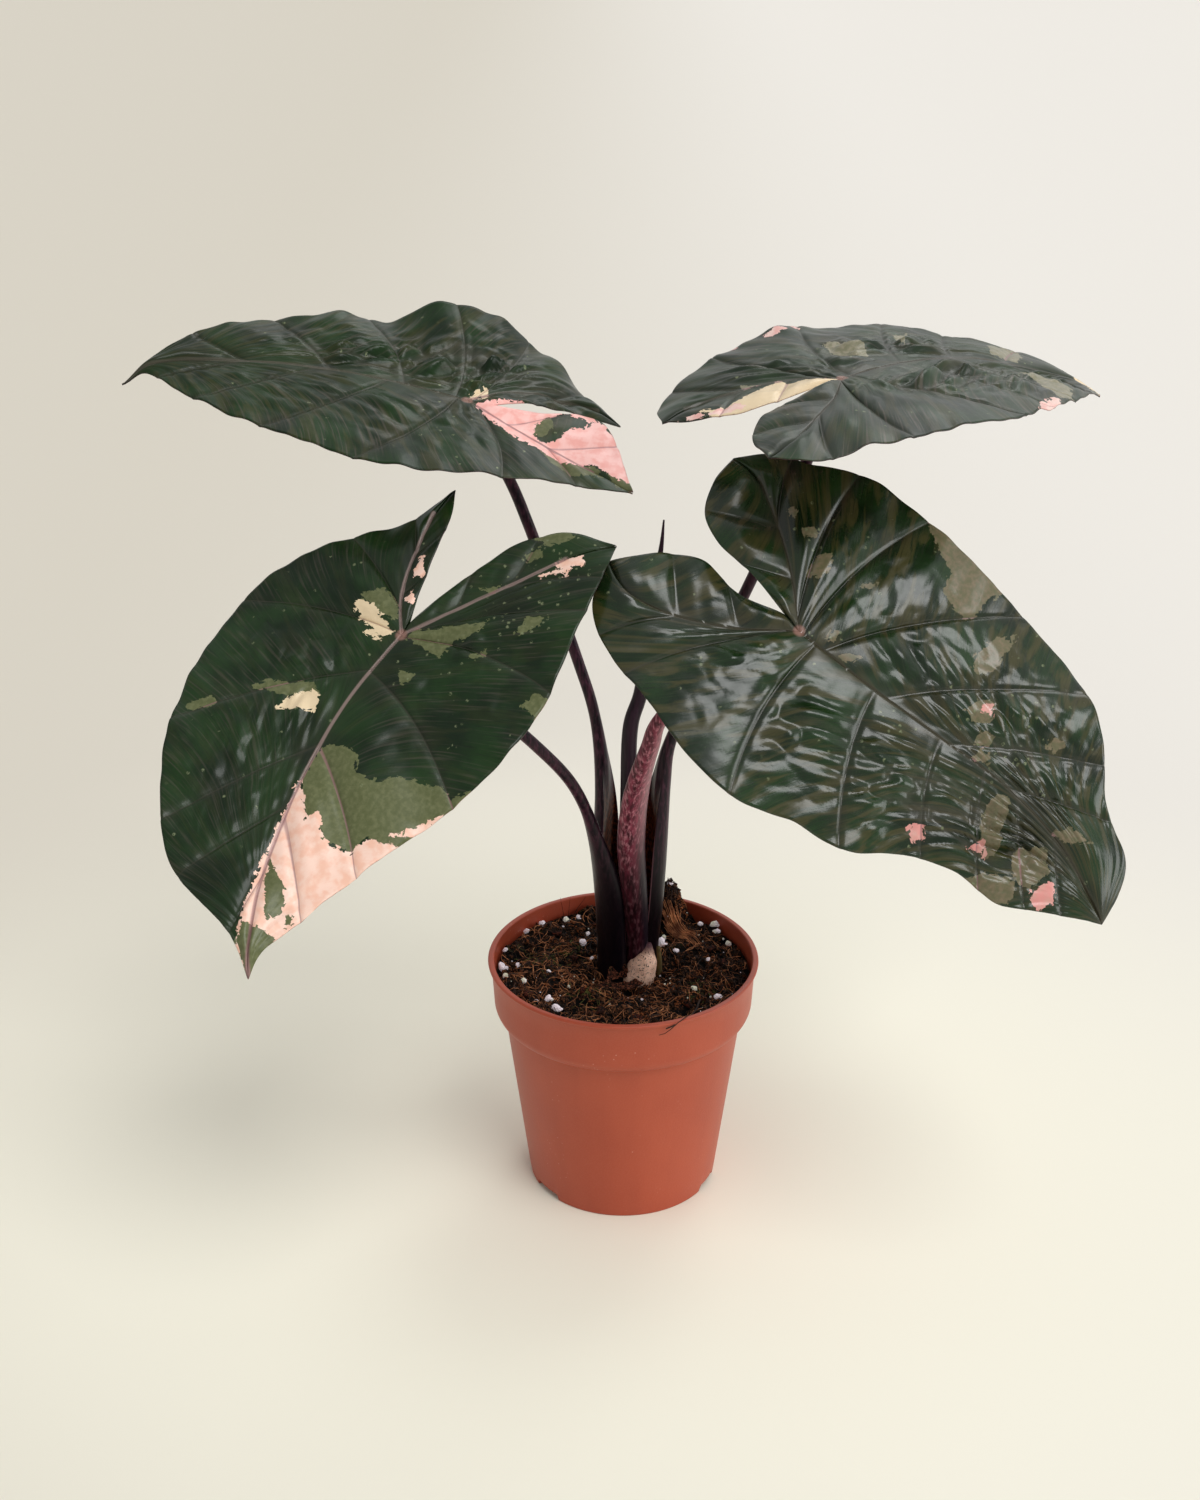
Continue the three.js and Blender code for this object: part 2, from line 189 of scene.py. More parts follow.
floor_reach = 12
floor_shape = bmesh.new()
bmesh.ops.create_grid(floor_shape, x_segments=1, y_segments=1, size=floor_reach)
floor = meshed("floor", floor_shape, 1)
floor_finish = Finish("paper", {"Roughness": 0.9, "Specular IOR Level": 0.2})
floor_sides = floor_finish.node("ShaderNodeSeparateXYZ", {}, {0: floor_finish.place()})
floor_near = floor_finish.node("ShaderNodeVectorMath", {"operation": "LENGTH"}, {
    0: floor_finish.place()}, "Value")
# Painted light: lighter towards the right, as if lit from that side, and lighter near the pot, over the
# plant's shade.
floor_colour = floor_finish.layers(
    (212, 206, 192),
    (floor_sides.rise(-0.45, 0.5), (234, 230, 222)),
    (0.85 - 0.85 * floor_near.rise(0.12, 0.55), (251, 248, 229)))
floor_finish.feed(floor_finish.shader, {"Base Color": floor_colour})
floor.data.materials.append(floor_finish.material)

world = bpy.data.worlds.new("walls")
world.use_nodes = True
walls = world.node_tree.nodes
facing = walls.new("ShaderNodeVectorMath")
facing.operation = "DOT_PRODUCT"
facing.inputs[1].default_value = (0.5, 0.62, 0.6)
brightness = walls.new("ShaderNodeMapRange")
brightness.interpolation_type = "SMOOTHSTEP"
for name, value in (("From Min", 0.2), ("From Max", 1.1), ("To Min", 0.45), ("To Max", 0.88)):
    brightness.inputs[name].default_value = value
walls["Background"].inputs["Color"].default_value = paint(251, 251, 252)
for start, end in ((walls.new("ShaderNodeTexCoord").outputs["Generated"], facing.inputs[0]),
                   (facing.outputs["Value"], brightness.inputs["Value"]),
                   (brightness.outputs["Result"], walls["Background"].inputs["Strength"])):
    world.node_tree.links.new(start, end)
bpy.context.scene.world = world


def soft_light(name, towards, strength, spread):
    """Light from one side of the studio that is even over the whole floor."""
    data = bpy.data.lights.new(name, "SUN")
    data.energy = strength
    data.angle = math.radians(spread)
    placed(name, data).rotation_euler = Vector(towards).to_track_quat("Z", "Y").to_euler()


soft_light("overhead", (0.25, -0.45, 0.86), 1.2, 28)
soft_light("window", (0.3, 0.62, 0.72), 0.35, 26)
soft_light("side", (0.95, -0.3, 0.15), 1.3, 40)


# Pot: a thin-walled 12 cm nursery pot, injection-moulded in terracotta-coloured plastic in
# one shot. It has a rolled lip, a collar over a curved shoulder, and a foot ring with notches
# for the water that drains through the holes in its floor.
pot_height = 110
lip_radius = 60
lip_thickness = 1.6
lip_inner_radius = 57.4
collar_radius = 57.5
collar_flare = 1
collar_height = 20
shoulder_height = 6
body_radius = 53
base_radius = 42.3
pot_wall = 1.2
foot_width = 2.6
foot_rounding = 0.7
channel_height = 3.6
plate_radius = 14
plate_slope = 1.5
notch_angles = (-144, -24, 96)
notch_width = 15
notch_height = 3.3
hole_radius = 3
hole_circle = 31
hole_count = 9
wall_rings = (3.4, 10, 25, 40, 55, 70, 80)
pot_sides = 216
pot_sharp_angle = 40


def turned(outline, steps):
    """A closed shape of revolution from an outline of radii and heights."""
    shape = bmesh.new()
    corners = [shape.verts.new((radius, 0, height)) for radius, height in outline]
    edges = [shape.edges.new(pair) for pair in zip(corners, corners[1:])]
    bmesh.ops.spin(shape, geom=corners + edges, cent=(0, 0, 0), axis=(0, 0, 1),
                   angle=math.tau, steps=steps, use_merge=True)
    bmesh.ops.remove_doubles(shape, verts=shape.verts[:], dist=0.001)
    bmesh.ops.recalc_face_normals(shape, faces=shape.faces[:])
    return shape


def shown(piece, finish, slot, nodes=()):
    """The piece in its finish, as part of the plant, shown in place of those nodes."""
    piece.data.materials.append(finish.material)
    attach(piece, "root")
    if nodes:
        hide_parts(*nodes)
    return piece


def finished(shape, name, finish, slot, nodes=()):
    """A shape in millimetres as a smooth piece of the plant."""
    piece = meshed(name, shape, 0.001)
    piece.data.shade_smooth()
    return shown(piece, finish, slot, nodes)


def arc(centre, radius, start, end, steps):
    turns = [math.radians(start + (end - start) * step / steps) for step in range(steps + 1)]
    return [(centre[0] + radius * math.cos(turn), centre[1] + radius * math.sin(turn))
            for turn in turns]


def shoulder(inset, steps=12):
    """The pot's line from the body's top edge out to the collar."""
    turns = [step / steps * math.pi / 2 for step in range(steps + 1)]
    collar_foot = pot_height - collar_height
    return [(body_radius - inset + (collar_radius - body_radius) * math.sin(turn),
             collar_foot - shoulder_height * math.cos(turn)) for turn in turns]


def wall_radius(height):
    body_height = pot_height - collar_height - shoulder_height
    return base_radius + (body_radius - base_radius) * height / body_height


lip_middle = pot_height - lip_thickness / 2
floor_top = channel_height + pot_wall
pot_outline = [
    (0, 0),
    (plate_radius, 0),
    (plate_radius + plate_slope, channel_height),
    (base_radius - foot_width, channel_height),
    (base_radius - foot_width, 0),
    *arc((base_radius - foot_rounding, foot_rounding), foot_rounding, -90, 0, 4),
    *[(wall_radius(height), height) for height in wall_rings],
    *shoulder(0),
    (collar_radius + collar_flare * 0.5, 99),
    (collar_radius + collar_flare, pot_height - lip_thickness - 0.6),
    (collar_radius + collar_flare + 0.4, pot_height - lip_thickness),
    *arc((lip_radius - lip_thickness / 2, lip_middle), lip_thickness / 2, -80, 90, 6),
    (lip_inner_radius + 0.4, pot_height),
    (lip_inner_radius, pot_height - 0.4),
    (lip_inner_radius - 0.2, pot_height - 3),
    *reversed(shoulder(pot_wall)),
    (base_radius - pot_wall, floor_top + 1),
    (base_radius - pot_wall - 1, floor_top),
    (plate_radius + plate_slope + pot_wall, floor_top),
    (plate_radius + pot_wall, pot_wall),
    (0, pot_wall),
]
pot_shape = turned(pot_outline, pot_sides)
half_notch = math.degrees(notch_width / 2 / base_radius)
for corner in pot_shape.verts:
    radius = math.hypot(corner.co.x, corner.co.y)
    turn = math.degrees(math.atan2(corner.co.y, corner.co.x))
    offsets = [abs((turn - notch + 180) % 360 - 180) for notch in notch_angles]
    if radius > base_radius - foot_width - 0.1 and min(offsets) < half_notch:
        corner.co.z = max(corner.co.z, notch_height)

pot_finish = Finish("pot", {"Specular IOR Level": 0.45})
pot_place = pot_finish.place()
pot_streaks = pot_finish.cloud(pot_finish.stretched(pot_place, (90, 90, 9)), 1, 2)
pot_clouds = pot_finish.cloud(pot_place, 26, 4)
pot_grain = pot_finish.cloud(pot_place, 1500, 2)
pot_dust = pot_finish.cells(pot_place, 420).bell(0.09) * pot_finish.cloud(
    pot_place, 45, 3).rise(0.56, 0.68)
pot_colour = pot_finish.layers(
    (168, 70, 43),
    (pot_clouds.rise(0.3, 0.7), (176, 77, 49)),
    (pot_streaks.rise(0.4, 0.8) * 0.35, (156, 62, 38)),
    (pot_grain.rise(0.35, 0.75) * 0.2, (184, 92, 66)),
    (pot_dust * 0.8, (220, 176, 156)))
pot_finish.feed(pot_finish.shader, {
    "Base Color": pot_colour,
    "Roughness": 0.38 + 0.12 * pot_clouds + 0.25 * pot_dust,
    "Normal": pot_finish.relief(pot_grain + pot_streaks * 0.5, 0.00012, 0.5),
})

drill_shape = bmesh.new()
for hole in range(hole_count):
    turn = hole * math.tau / hole_count
    middle = (hole_circle * math.cos(turn), hole_circle * math.sin(turn),
              channel_height + pot_wall / 2)
    bmesh.ops.create_cone(drill_shape, cap_ends=True, segments=32, radius1=hole_radius,
                          radius2=hole_radius, depth=3 * pot_wall,
                          matrix=Matrix.Translation(middle))
drill = meshed("drill", drill_shape, 0.001)
pot = finished(pot_shape, "pot_moulding", pot_finish, "pot", ["pot"])
drilling = pot.modifiers.new("holes", "BOOLEAN")
drilling.operation = "DIFFERENCE"
drilling.object = drill
drilled = bpy.data.meshes.new_from_object(
    pot.evaluated_get(bpy.context.evaluated_depsgraph_get()))
pot.modifiers.clear()
pot.data = drilled
drilled.set_sharp_from_angle(angle=math.radians(pot_sharp_angle))
bpy.data.objects.remove(drill)


# Potting mix: loose peat with coir fibre and fine bark, pressed into the pot to a little
# below its lip. It dips round the stem and rises to one loose clod at the back right.
soil_level = 103
soil_gap = 0.15
clod_place = (21, 46)
clod_height = 18
clod_spread = 7
dip_depth = 5.5
dip_spread = 22
soil_sides = 260
stems_middle = (2, 5)
stems_clearance = 12


def soil_height(x, y):
    """The smooth height of the mix, before its crumbs."""
    uneven = 1.1 * math.sin(x / 6.1 + 1) * math.cos(y / 5.3) + 0.8 * math.sin((x - y) / 3.7)
    dip = dip_depth * math.exp(-(x * x + y * y) / dip_spread ** 2)
    reach = ((x - clod_place[0]) ** 2 + (y - clod_place[1]) ** 2) / clod_spread ** 2
    return soil_level + uneven - dip + clod_height * math.exp(-reach)


def crumbled(x, y):
    """The height with clods and crumbs on it."""
    clods = noise.fractal((x / 8, y / 8, 0), 0.8, 2.1, 3)
    crumbs = abs(noise.noise((x / 2.6, y / 2.6, 3)))
    grit = abs(noise.noise((x / 1.1, y / 1.1, 7)))
    return soil_height(x, y) + 1.6 * clods + 2.4 * crumbs + 0.9 * grit - 1


soil_inset = pot_wall + soil_gap
soil_edge = collar_radius - soil_inset
soil_outline = [
    (0, soil_inset),
    (plate_radius + pot_wall - soil_gap, soil_inset),
    (plate_radius + plate_slope + soil_inset, channel_height + soil_inset),
    (base_radius - soil_inset - 1, channel_height + soil_inset),
    (base_radius - soil_inset, channel_height + soil_inset + 1),
    *shoulder(soil_inset, 6),
    (soil_edge, soil_level - 1),
    *[(soil_edge - step * 0.7, soil_level) for step in range(1, 80)],
    (0, soil_level),
]
soil_shape = turned(soil_outline, soil_sides)
raised = soil_shape.verts.layers.float.new("raised")
for corner in soil_shape.verts:
    if corner.co.z > soil_level - 0.5:
        corner.co.z = crumbled(corner.co.x, corner.co.y)
        corner[raised] = corner.co.z - soil_height(corner.co.x, corner.co.y)


def peat_finish(name, dark, light, warm, shade_in_pits=False):
    """Matt crumbly stuff, lighter and warmer on its crumbs, with painted shade: near-black gaps
    between its grains and, if asked, near-black where it lies low between its clods.
    """
    finish = Finish(name, {"Roughness": 0.95, "Specular IOR Level": 0.15})
    place = finish.place()
    crumbs = finish.cells(place, 900, "Color")
    patches = finish.cloud(place, 120, 4)
    moss = finish.cloud(place, 70, 3, 1).rise(0.6, 0.68)
    fine = finish.cloud(place, 1400, 4)
    colour = finish.layers(dark, (crumbs, light), (patches.rise(0.5, 0.62), warm),
                           (moss * 0.7, (62, 62, 22)))
    # Painted shade: near-black gaps between the fine grains.
    colour = finish.layers((8, 5, 4), (fine.rise(0.44, 0.58), colour))
    # Painted shade: near-black where the mix lies low between its clods.
    if shade_in_pits:
        colour = finish.layers((4, 3, 2), (finish.value("raised").rise(-0.6, 1.2), colour))
    finish.feed(finish.shader, {
        "Base Color": colour,
        "Normal": finish.relief(fine, 0.0008),
    })
    return finish


soil_finish = peat_finish("peat", (40, 24, 15), (138, 92, 62), (146, 84, 48), shade_in_pits=True)
finished(soil_shape, "potting_mix", soil_finish, "soil", ["soil"])

draw = random.Random(41)


def soil_spot(reach=54):
    """A random place on the mix, clear of the stems."""
    while True:
        radius = reach * math.sqrt(draw.random())
        turn = draw.uniform(0, math.tau)
        x, y = radius * math.cos(turn), radius * math.sin(turn)
        if math.hypot(x - stems_middle[0], y - stems_middle[1]) > stems_clearance:
            return x, y


def pebble(shape, place, size, flat=1.0, detail=1, rough=0.25):
    """A small irregular lump, part sunk into the mix."""
    turn = Matrix.Rotation(draw.uniform(0, math.tau), 4, Vector(
        (draw.gauss(0, 1), draw.gauss(0, 1), draw.gauss(0, 1) + 0.01)).normalized())
    stretch = Matrix.Diagonal((1, draw.uniform(0.6, 1), draw.uniform(0.6, 0.9) * flat, 1))
    matrix = Matrix.Translation(place) @ turn @ stretch
    made = bmesh.ops.create_icosphere(shape, subdivisions=detail, radius=size, matrix=matrix)
    for corner in made["verts"]:
        corner.co += Vector([draw.uniform(-rough, rough) * size for _ in range(3)])


# Crumbs of peat and flakes of pine bark: loose bits that lie on the mix and half in it, as they
# fell when the pot was filled, and thickest on the clod.
crumb_count = 1700
clod_crumb_count = 260
crumb_finish = peat_finish("crumbs", (38, 23, 15), (128, 84, 56), (140, 80, 46))
crumb_shape = bmesh.new()
for _ in range(crumb_count):
    x, y = soil_spot(55)
    size = draw.uniform(0.4, 1.2) ** 1.6 + 0.2
    pebble(crumb_shape, (x, y, crumbled(x, y) + 0.2 * size), size)
for _ in range(clod_crumb_count):
    x, y = (draw.gauss(middle, 4) for middle in clod_place)
    if math.hypot(x, y) > soil_edge - 0.5:
        continue
    size = draw.uniform(0.6, 1.7)
    pebble(crumb_shape, (x, y, crumbled(x, y) + 0.3 * size), size)
finished(crumb_shape, "peat_crumbs", crumb_finish, "soil")

bark_finish = peat_finish("bark", (44, 22, 16), (92, 46, 32), (104, 50, 34))
bark_shape = bmesh.new()
bark_places = [(-10, -37, 5), (6, -42, 6), (-22, 11, 4), (34, -11, 5), (29, -30, 5), (18, -44, 4),
               (-4, -45, 4), (44, 3, 4), (-34, 14, 4), (-42, -24, 4), (12, -30, 3), (40, 18, 4),
               (-18, -22, 3), (-30, 30, 4), (2, 48, 5), (-12, 42, 4)]
for x, y, size in bark_places:
    turn = Matrix.Rotation(draw.uniform(0, math.tau), 4, "Z") @ Matrix.Rotation(
        draw.uniform(-0.5, 0.5), 4, "X")
    bmesh.ops.create_cube(bark_shape, size=1, matrix=Matrix.Translation(
        (x, y, crumbled(x, y) + 0.6)) @ turn @ Matrix.Diagonal((size, size * 0.6, 1.6, 1)))
bmesh.ops.subdivide_edges(bark_shape, edges=bark_shape.edges[:], cuts=2, use_grid_fill=True)
for corner in bark_shape.verts:
    corner.co += Vector([draw.uniform(-0.35, 0.35) for _ in range(3)])
finished(bark_shape, "bark_chips", bark_finish, "soil")


# Perlite: white grains of expanded volcanic glass, mixed through the peat. Some have taken
# on a green tint from algae. The larger ones lie where the photograph shows them.
perlite_white = (250, 238, 244)
fine_grain_count = 70
# The grains glow faintly: painted light that keeps them white where the leaves shade the mix.
perlite_finish = Finish("perlite", {
    "Roughness": 0.85, "Emission Color": paint(*perlite_white), "Emission Strength": 0.12})
perlite_place = perlite_finish.place()
perlite_pits = perlite_finish.cells(perlite_place, 1500)
perlite_tint = perlite_finish.cloud(perlite_place, 60, 1)
perlite_colour = perlite_finish.layers(perlite_white, (perlite_tint.rise(0.5, 0.6), (222, 224, 186)))
perlite_finish.feed(perlite_finish.shader, {
    "Base Color": perlite_finish.layers((196, 178, 170),
                                        (perlite_pits.rise(0.02, 0.3), perlite_colour)),
    "Normal": perlite_finish.relief(perlite_pits, 0.0005),
})
perlite_grains = [
    (-37, 40, 1.6), (-20, 47, 1.3), (-26, 44, 1.7), (-44, 34, 1.3), (-53, 14, 1.1),
    (-54, 2, 1.9), (-52, -8, 1.4), (-47, 4, 1.2), (-33, -2, 1.1), (-44, -10, 1.3),
    (-38, -26, 1.0), (-33, -27, 1.7), (-29, -36, 1.8), (-16, 34, 1.3), (-18, 24, 1.6),
    (19, 30, 1.1), (22, 45, 1.5), (17, 22, 2.4), (36, 37, 1.3), (42, 35, 1.7), (43, 30, 1.5),
    (48, 22, 1.3), (24, 15, 1.2), (31, -18, 1.3), (41, -24, 1.6), (-24, -14, 0.8),
    (8, -24, 0.7), (-6, -30, 0.6), (38, 4, 0.8), (-14, 12, 0.9),
]
perlite_shape = bmesh.new()
for x, y, size in perlite_grains:
    pebble(perlite_shape, (x, y, crumbled(x, y) + 0.7 * size), 1.2 * size, 0.9, 2, 0.13)
    if size > 1.5:
        pebble(perlite_shape, (x + size, y + 0.4, crumbled(x, y) + 0.4), size * 0.6, 1, 2, 0.13)
for _ in range(fine_grain_count):
    x, y = soil_spot()
    pebble(perlite_shape, (x, y, crumbled(x, y) + 0.2), draw.uniform(0.25, 0.6), 1, 1, 0.2)
finished(perlite_shape, "perlite", perlite_finish, "soil")


# Fibres and fine roots: coir and root threads lie tangled over the mix. One long black root
# hangs over the front of the lip, and some threads stand up at the back left.
def strands(name, finish, lines):
    """Thin threads along lines of points, each with a radius in millimetres, closed at both
    ends."""
    curve = bpy.data.curves.new(name, "CURVE")
    curve.dimensions = "3D"
    curve.bevel_depth = 0.001
    curve.bevel_resolution = 0
    curve.use_fill_caps = True
    for line in lines:
        spline = curve.splines.new("POLY")
        spline.points.add(len(line) - 1)
        for point, (x, y, z, radius) in zip(spline.points, line):
            point.co = (x / 1000, y / 1000, z / 1000, 1)
            point.radius = radius
    shown(placed(name, curve), finish, "soil")


def thread(x, y, length, radius, lift):
    """A random thread that wanders over the mix from one place."""
    steps = 6
    heading = draw.uniform(0, math.tau)
    bend = draw.gauss(0, 0.35)
    line = []
    for step in range(steps + 1):
        if math.hypot(x, y) > soil_edge - 0.6:
            break
        share = step / steps
        rise = lift * math.sin(math.pi * share) + 0.25
        line.append((x, y, crumbled(x, y) + rise, radius * (1 - 0.6 * share)))
        x += length / steps * math.cos(heading)
        y += length / steps * math.sin(heading)
        heading += bend + draw.gauss(0, 0.2)
    return line if len(line) > 2 else [(x, y, soil_level - 2, radius)] * 2


def thread_finish(name, dark, light):
    finish = Finish(name, {"Roughness": 0.75, "Specular IOR Level": 0.3})
    tone = finish.cloud(finish.place(), 260, 2)
    finish.feed(finish.shader, {"Base Color": finish.layers(dark, (tone.rise(0.3, 0.7), light))})
    return finish


rust_finish = thread_finish("rust_fibre", (112, 62, 36), (216, 146, 98))
dark_finish = thread_finish("dark_fibre", (24, 15, 12), (60, 38, 26))
moss_finish = thread_finish("moss", (50, 52, 18), (96, 94, 40))
moss_places = ((-14, -22), (-38, 8), (36, -16), (-26, 16))


def threads(count, start, length, radius, lift):
    """Random threads from random starts, with each size drawn from its range."""
    return [thread(*start(), draw.uniform(*length), draw.uniform(*radius), draw.uniform(*lift))
            for _ in range(count)]


def spot_near(place, spread):
    return [draw.gauss(middle, width) for middle, width in zip(place, spread)]


rust_lines = threads(520, soil_spot, (5, 15), (0.1, 0.24), (0.2, 1.6))
dark_lines = threads(520, soil_spot, (4, 12), (0.12, 0.4), (0.1, 1.4))
dark_lines += threads(130, lambda: spot_near(clod_place, (3.5, 3.5)), (4, 9), (0.1, 0.3), (1, 3))
moss_lines = []
for middle in moss_places:
    moss_lines += threads(45, lambda: spot_near(middle, (6, 5)), (2, 6), (0.12, 0.3), (0.2, 1))
bundle_heading = (0.62, -0.78)
for _ in range(60):
    x, y = draw.uniform(18, 25), draw.uniform(33, 41)
    reach, rise = draw.uniform(8, 20), draw.uniform(0.5, 2.5)
    line = []
    for share in (0, 0.25, 0.5, 0.75, 1):
        out_x, out_y = (start + reach * share * part for start, part in zip((x, y), bundle_heading))
        line.append((out_x, out_y + draw.uniform(-0.4, 0.4),
                     soil_height(out_x, out_y) + 1 + rise * (1 - share), 0.2 - 0.1 * share))
    rust_lines.append(line)
for x, y, lean in ((-27, 47, -0.7), (-25, 48, 0.4), (-23, 48, 2.6)):
    dark_lines.append([(x, y, 103, 0.16), (x + lean, y - 0.5, 108, 0.12),
                       (x + 2.4 * lean, y - 1, 114, 0.05)])
strands("rust_fibres", rust_finish, rust_lines)
strands("dark_fibres", dark_finish, dark_lines)
strands("moss_tufts", moss_finish, moss_lines)

root_route = [(33, -28, 104), (31, -38, 105), (28.5, -46, 107), (26.5, -51.5, 110.3),
              (25, -54.6, 110.9), (22.5, -56.4, 109.9), (19.5, -56.9, 107), (17, -57, 105),
              (14.5, -57.3, 104.4)]
root_side = [(21.5, -56.6, 109), (19, -57.2, 108.2), (17.5, -57.4, 107.6)]
root_lines = [[(*point, 0.42 - 0.03 * step) for step, point in enumerate(route)]
              for route in (root_route, root_side)]
strands("root_over_lip", dark_finish, root_lines)


# Petioles: round, waxy leaf stalks, purple-black with a painted mauve sheen and painted shade
# low down. Below, each widens into a sheath: a gutter with thin pale edges and a rusty lining,
# wrapped round the younger stalk inside it. The front one is crimson with pale mottling.
sheath_opening = 112
sheath_outer_share = 120

# Each path runs from the foot in the mix up to the blade. The radii are those at the foot and
# from the sheath's top on, and back points away from the plant's middle.
petioles = {
    "a": dict(path=[(-5, 14, 90), (-5, 14, 120), (-7, 15, 155), (-8, 16, 185), (-13, 19, 220),
                    (-20, 22, 243), (-41, 29, 303), (-48, 31, 320), (-65.4, 34.6, 350.7)],
              radii=(5, 2.4), sheath_top=0.47, width=9, depth=5.5, pinch=0, back=(-65, 34, 0)),
    "b": dict(path=[(-5, 5, 90), (-5, 5, 115), (-7, 0, 148), (-13, -9, 177), (-22, -22, 205),
                    (-37, -35, 229), (-60, -47, 256), (-86.5, -56.6, 284.1)],
              radii=(5, 2.4), sheath_top=0.45, width=9, depth=5.5, pinch=0, back=(-87, -58, 0)),
    "c": dict(path=[(8, 12, 90), (8, 12, 106), (10, 11, 132), (12, 10, 162), (16, 9, 192),
                    (20, 7, 212), (50, 2, 282), (85, -1.8, 369.6)],
              radii=(5, 2.4), sheath_top=0.44, width=9, depth=7.4, pinch=0, back=(85, 40, 0)),
    "d": dict(path=[(6, 3, 90), (6, 3, 111), (5, -1, 138), (3, -7, 171), (5, -17, 200),
                    (10, -30, 226), (15, -38, 243), (65.9, -62.3, 288.4)],
              radii=(4.6, 2.6), sheath_top=0.8, width=7.4, depth=5, pinch=0.35,
              back=(66, -64, 0)),
}


def smooth_line(points, steps=16):
    """Points along a smooth curve through the given ones."""
    given = np.array(points, float)
    given = np.vstack([2 * given[0] - given[1], given, 2 * given[-1] - given[-2]])
    line = []
    for before, start, end, after in zip(given, given[1:], given[2:], given[3:]):
        spans = [math.sqrt(np.linalg.norm(b - a))
                 for a, b in ((before, start), (start, end), (end, after))]
        t0, t1, t2, t3 = np.cumsum([0, *spans])
        t = np.linspace(t1, t2, steps, endpoint=False)[:, None]
        a1 = (t1 - t) / (t1 - t0) * before + (t - t0) / (t1 - t0) * start
        a2 = (t2 - t) / (t2 - t1) * start + (t - t1) / (t2 - t1) * end
        a3 = (t3 - t) / (t3 - t2) * end + (t - t2) / (t3 - t2) * after
        b1 = (t2 - t) / (t2 - t0) * a1 + (t - t0) / (t2 - t0) * a2
        b2 = (t3 - t) / (t3 - t1) * a2 + (t - t1) / (t3 - t1) * a3
        line.append((t2 - t) / (t2 - t1) * b1 + (t - t1) / (t2 - t1) * b2)
    return np.vstack([*line, given[-2]])


class Line:
    """A smooth line that can be asked for the point at a length along it."""

    def __init__(self, points):
        self.points = smooth_line(points)
        steps = np.linalg.norm(np.diff(self.points, axis=0), axis=1)
        self.lengths = np.concatenate([[0], np.cumsum(steps)])
        self.length = self.lengths[-1]

    def at(self, length):
        return np.stack([np.interp(length, self.lengths, column)
                         for column in self.points.T], -1)

    def spread(self, count):
        return self.at(np.linspace(0, self.length, count))


def smoothstep(value, low, high):
    share = np.clip((value - low) / (high - low), 0, 1)
    return share * share * (3 - 2 * share)


def stalk(path, sides, steps, back, section):
    """A closed tube along a path. The section gives, for a share of the way up and an angle
    from the back, how far the skin lies outwards and sideways, and the marks edge and lining."""
    line = Line(path)
    tangents = np.gradient(line.points, axis=0)
    shape = bmesh.new()
    marks = [shape.verts.layers.float.new(name) for name in ("along", "around", "edge", "lining")]
    bmesh.ops.create_grid(shape, x_segments=sides, y_segments=steps, size=0.5)
    for corner in shape.verts:
        angle = 360 * corner.co.x
        share = corner.co.y + 0.5
        middle = Vector(line.at(share * line.length))
        tangent = Vector([np.interp(share * line.length, line.lengths, column)
                          for column in tangents.T]).normalized()
        outward = (back - tangent * back.dot(tangent)).normalized()
        sideways = tangent.cross(outward)
        out, side, edge, lining = section(share, angle)
        corner.co = middle + outward * out + sideways * side
        for mark, value in zip(marks, (share * line.length, angle, edge, lining)):
            corner[mark] = value
    bmesh.ops.remove_doubles(shape, verts=shape.verts[:], dist=0.001)
    open_edges = [edge for edge in shape.edges if edge.is_boundary]
    bmesh.ops.holes_fill(shape, edges=open_edges, sides=0)
    bmesh.ops.recalc_face_normals(shape, faces=shape.faces[:])
    return shape


def petiole_shape(stem):
    top = stem["sheath_top"]

    def section(share, angle):
        turn = math.radians(angle)
        radius = np.interp(share, (0, top), stem["radii"])
        flare = 1 - smoothstep(share, top * 0.45, top)
        hollow = flare * smoothstep(share, 0.03, top * 0.3)
        depth = radius + (stem["depth"] - radius) * flare
        width = radius + (stem["width"] - radius) * flare
        width *= 1 - stem["pinch"] * (1 - smoothstep(share, 0, 0.4))
        plain = (depth * math.cos(turn), width * math.sin(turn))
        opening = math.radians(sheath_opening)
        if abs(angle) < sheath_outer_share:
            bent = angle / sheath_outer_share * opening
            gutter = (depth * math.cos(bent), width * math.sin(bent))
            lining = 0
        else:
            inner = (180 - abs(angle)) / (180 - sheath_outer_share)
            bent = math.copysign(inner * opening, angle)
            wall = 0.6 + 2.6 * math.cos(bent / 2) ** 2 * (1 - inner * 0.6)
            gutter = ((depth - wall) * math.cos(bent), (width - wall * 0.6) * math.sin(bent))
            lining = 1
        out, side = (a + (b - a) * hollow for a, b in zip(plain, gutter))
        edge = math.exp(-((abs(angle) - sheath_outer_share) / 7) ** 2) * hollow
        return out, side, edge, lining * hollow

    return stalk(stem["path"], 72, 150, Vector(stem["back"]), section)


